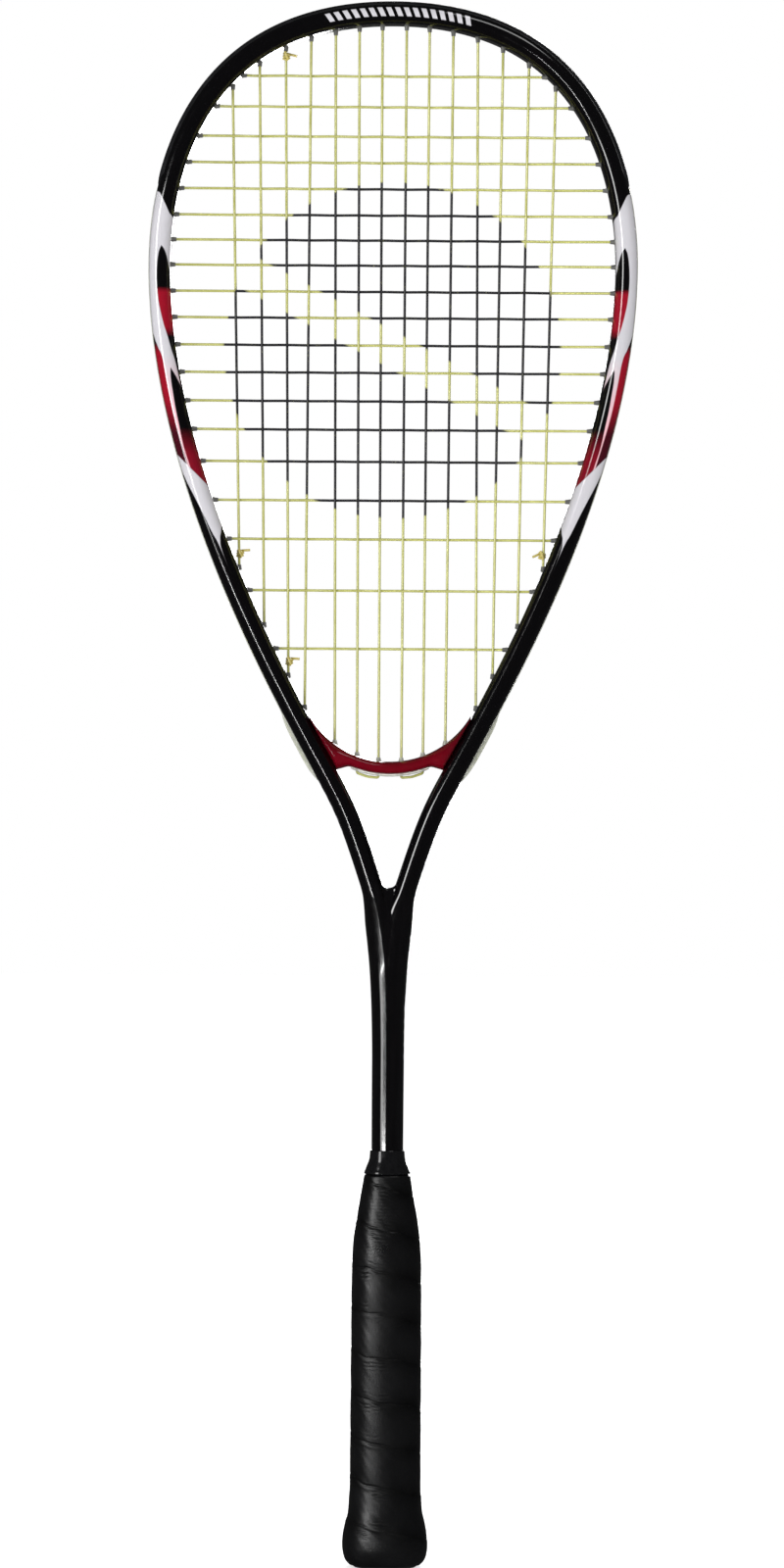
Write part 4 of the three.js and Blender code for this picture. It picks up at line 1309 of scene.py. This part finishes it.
def grip():
    """The wound wrap: rings up the handle, lifted turn by turn, with both ends folded in."""
    cols = 128
    fold = 1.75
    heights, half_x, half_y = smooth_stations(GRIP_STATIONS, 620, 10)
    bottom_z = heights[0]
    rings = [oval_ring(bottom_z + 1.4, half_x[0] - fold, half_y[0] - fold, cols=cols)]
    crown_values = [0.0] * cols
    for z, a, b in zip(heights, half_x, half_y):
        ends = min((z - bottom_z) / 2.0, (GRIP_TOP - z) / 1.2, 1.0)
        ring = []
        for k in range(cols):
            angle = 2 * math.pi * k / cols
            lift, crown = grip_lift(z, angle)
            out = lift * ends - 0.9 * (1 - ends) ** 2
            ring.append((*oval(angle, a + out, b + out, HANDLE_POWER), z))
            crown_values.append(crown)
        rings.append(ring)
    rings.append(oval_ring(GRIP_TOP - 0.6, half_x[-1] - fold, half_y[-1] - fold, cols=cols))
    crown_values += [0.0] * cols
    piece = body_of_rings("grip_wound", rings, 60.0)
    add_attribute(piece, "crown", crown_values)
    return finish_piece(piece, LEATHER, "grip_wrap", "grip_wrap")


def oval_ring(z, a, b, power=HANDLE_POWER, cols=96):
    return [(*oval(2 * math.pi * k / cols, a, b, power), z) for k in range(cols)]


def oval_body(name, stations, sharp):
    """A closed body through ovals at (height, half width, half depth)."""
    return body_of_rings(name, [oval_ring(z, a, b, CAP_POWER) for z, a, b in stations], sharp)


def collar():
    """A glossy rubber collar over the grip's top edge: a flared skirt with a rolled foot, and a thin lip."""
    skirt = list(zip(*smooth_stations(COLLAR_STATIONS, 70, 5)))
    foot_z, foot_x, foot_y = skirt[0]
    _, lip_x, lip_y = skirt[-1]
    stations = [(foot_z - 0.15, foot_x - 0.7, foot_y - 0.7), (foot_z, foot_x - 0.15, foot_y - 0.15)]
    stations += skirt[1:-1]
    stations.append((COLLAR_TOP, lip_x - 0.2, lip_y - 0.2))
    stations.append((COLLAR_TOP - 0.2, SHAFT_X - 0.05, SHAFT_Y - 0.05))
    piece = oval_body("collar_skin", stations, 50.0)
    return finish_piece(piece, RUBBER, "collar_rubber", "shaft_collar")


def butt_cap():
    """The moulded cup under the grip: a flat end with a shallow ring, and a rolled corner."""
    stations = [(0.35, 5.0, 4.4), (0.35, 9.8, 8.6), (0.0, 10.1, 8.9), (0.0, 12.9, 11.6), (0.12, 13.5, 12.2)]
    stations += [(0.5, 14.0, 12.8), (1.2, 14.6, 13.3), (2.6, 15.2, 13.9), (5.0, 16.0, 14.6)]
    stations += [(8.0, 16.2, 14.7), (15.0, 15.3, 13.9), (27.0, 13.4, 12.0), (30.0, 13.3, 11.9)]
    return finish_piece(oval_body("butt_cap_skin", stations, 40.0), CAP_BLACK, "cap_plastic", "butt_cap")


# ---- stage


def area_light(name, azimuth, distance, height, size, power, aim_z=0.4, glossy=True):
    """A softbox seen at an azimuth from the racket; azimuth 0 is the front, positive to the right."""
    data = bpy.data.lights.new(name, "AREA")
    data.shape = "RECTANGLE"
    data.size, data.size_y = size
    data.energy = power
    lamp = place(name, data)
    angle = math.radians(azimuth)
    lamp.location = (distance * math.sin(angle), -distance * math.cos(angle), height)
    aim = Vector((0.0, 0.0, aim_z)) - lamp.location
    lamp.rotation_euler = aim.to_track_quat("-Z", "Y").to_euler()
    lamp.visible_glossy = glossy
    lamp.visible_camera = False
    return lamp


def lights():
    """Softboxes from the left draw the long highlights; the fill has no reflection of its own."""
    area_light("softbox_left", -42.0, 2.4, 0.64, (0.6, 1.0), 20.0)
    area_light("softbox_low", -42.0, 2.4, 0.075, (0.6, 0.13), 1.5, aim_z=0.2)
    area_light("floor_strip", -24.5, 2.4, 0.016, (0.96, 0.028), 4.8, aim_z=0.2)
    area_light("fill", 12.0, 3.0, 1.5, (2.4, 2.4), 14.0, glossy=False)
    area_light("softbox_back", 172.0, 2.4, 0.9, (0.5, 1.5), 30.0)
    area_light("top_box", 25.0, 1.6, 2.3, (0.9, 0.5), 6.0, aim_z=0.55)


def world():
    """White to the camera, softer light on the surfaces, and a dim studio in reflections."""
    sky = bpy.data.worlds.new("studio")
    sky.use_nodes = True
    nodes, links = sky.node_tree.nodes, sky.node_tree.links

    def white(background, strength):
        background.inputs["Color"].default_value = (1.0, 1.0, 1.0, 1.0)
        background.inputs["Strength"].default_value = strength
        return background.outputs[0]

    def choose(ray_kind, otherwise, chosen):
        mixer = nodes.new("ShaderNodeMixShader")
        links.new(path.outputs[ray_kind], mixer.inputs[0])
        links.new(otherwise, mixer.inputs[1])
        links.new(chosen, mixer.inputs[2])
        return mixer.outputs[0]

    path = nodes.new("ShaderNodeLightPath")
    seen = white(nodes["Background"], 1.0)
    soft = white(nodes.new("ShaderNodeBackground"), 0.5)
    dim = white(nodes.new("ShaderNodeBackground"), 0.035)
    lit = choose("Is Diffuse Ray", seen, soft)
    links.new(choose("Is Glossy Ray", lit, dim), nodes["World Output"].inputs["Surface"])
    bpy.context.scene.world = sky


def floor():
    """A plain pale floor, wide enough to reach past the frame."""
    size = 8.0
    corners = [(-size, -size, 0), (size, -size, 0), (size, size, 0), (-size, size, 0)]
    mesh = bpy.data.meshes.new("floor")
    mesh.from_pydata(corners, [], [(0, 1, 2, 3)])
    ground = place("floor", mesh)
    s = Shader("floor_paper")
    s.set(Base_Color=(0.9, 0.9, 0.9, 1.0), Roughness=0.7)
    s.set(Emission_Color=(1.0, 1.0, 1.0, 1.0), Emission_Strength=0.62)
    ground.data.materials.append(s.material)
    ground.visible_glossy = False


def camera():
    """Square to the string face, as far back as a long lens, turned a little as the racket leans."""
    distance, sensor = 2.6, 36.0
    seen_height = 0.6874
    roll = math.radians(0.38)
    data = bpy.data.cameras.new("camera")
    data.sensor_width = sensor
    data.lens = sensor * distance / seen_height
    view = place("camera", data)
    centre = (cad_box[0] + cad_box[1]) / 2
    view.location = (centre.x + 0.001, -distance, centre.z)
    upright = Matrix.Rotation(math.pi / 2, 3, "X")
    view.rotation_euler = (upright @ Matrix.Rotation(roll, 3, "Z")).to_euler()
    bpy.context.scene.camera = view


# ---- assembly

camera()
world()
lights()
floor()

head_tube()
bumper()
side_strip(-1, "side_strip_left_skin", "grommet_strip_left")
side_strip(1, "side_strip_right_skin", "grommet_strip_right")
main_string()
cross_string()
grommet_barrels()
knot("main_knot_left", (0.1, 0, 1), (0.95, -0.2, 0.2))
knot("main_knot_right", (0.1, 0, 1), (-0.9, -0.3, -0.2))
knot("cross_knot_top", (0.1, 0, 1), (1.0, -0.1, 0.0))
knot("cross_knot_low", (0.1, 0, 1), (0.9, -0.3, 0.3))
bridge()
bridge_strip()
shaft()
collar()
grip()
butt_cap()

CARRIED_OVER = {
    "throat_core": CORE_GREY,
    "handle_shell_front": FOAM,
    "handle_shell_back": FOAM,
    "shaft_foam_plug": FOAM,
    "cap_staple_front": WIRE,
    "cap_staple_back": WIRE,
}
for node, material in CARRIED_OVER.items():
    frame["nodes"][node].data.materials.clear()
    frame["nodes"][node].data.materials.append(material)

bpy.context.scene.view_settings.view_transform = "Standard"
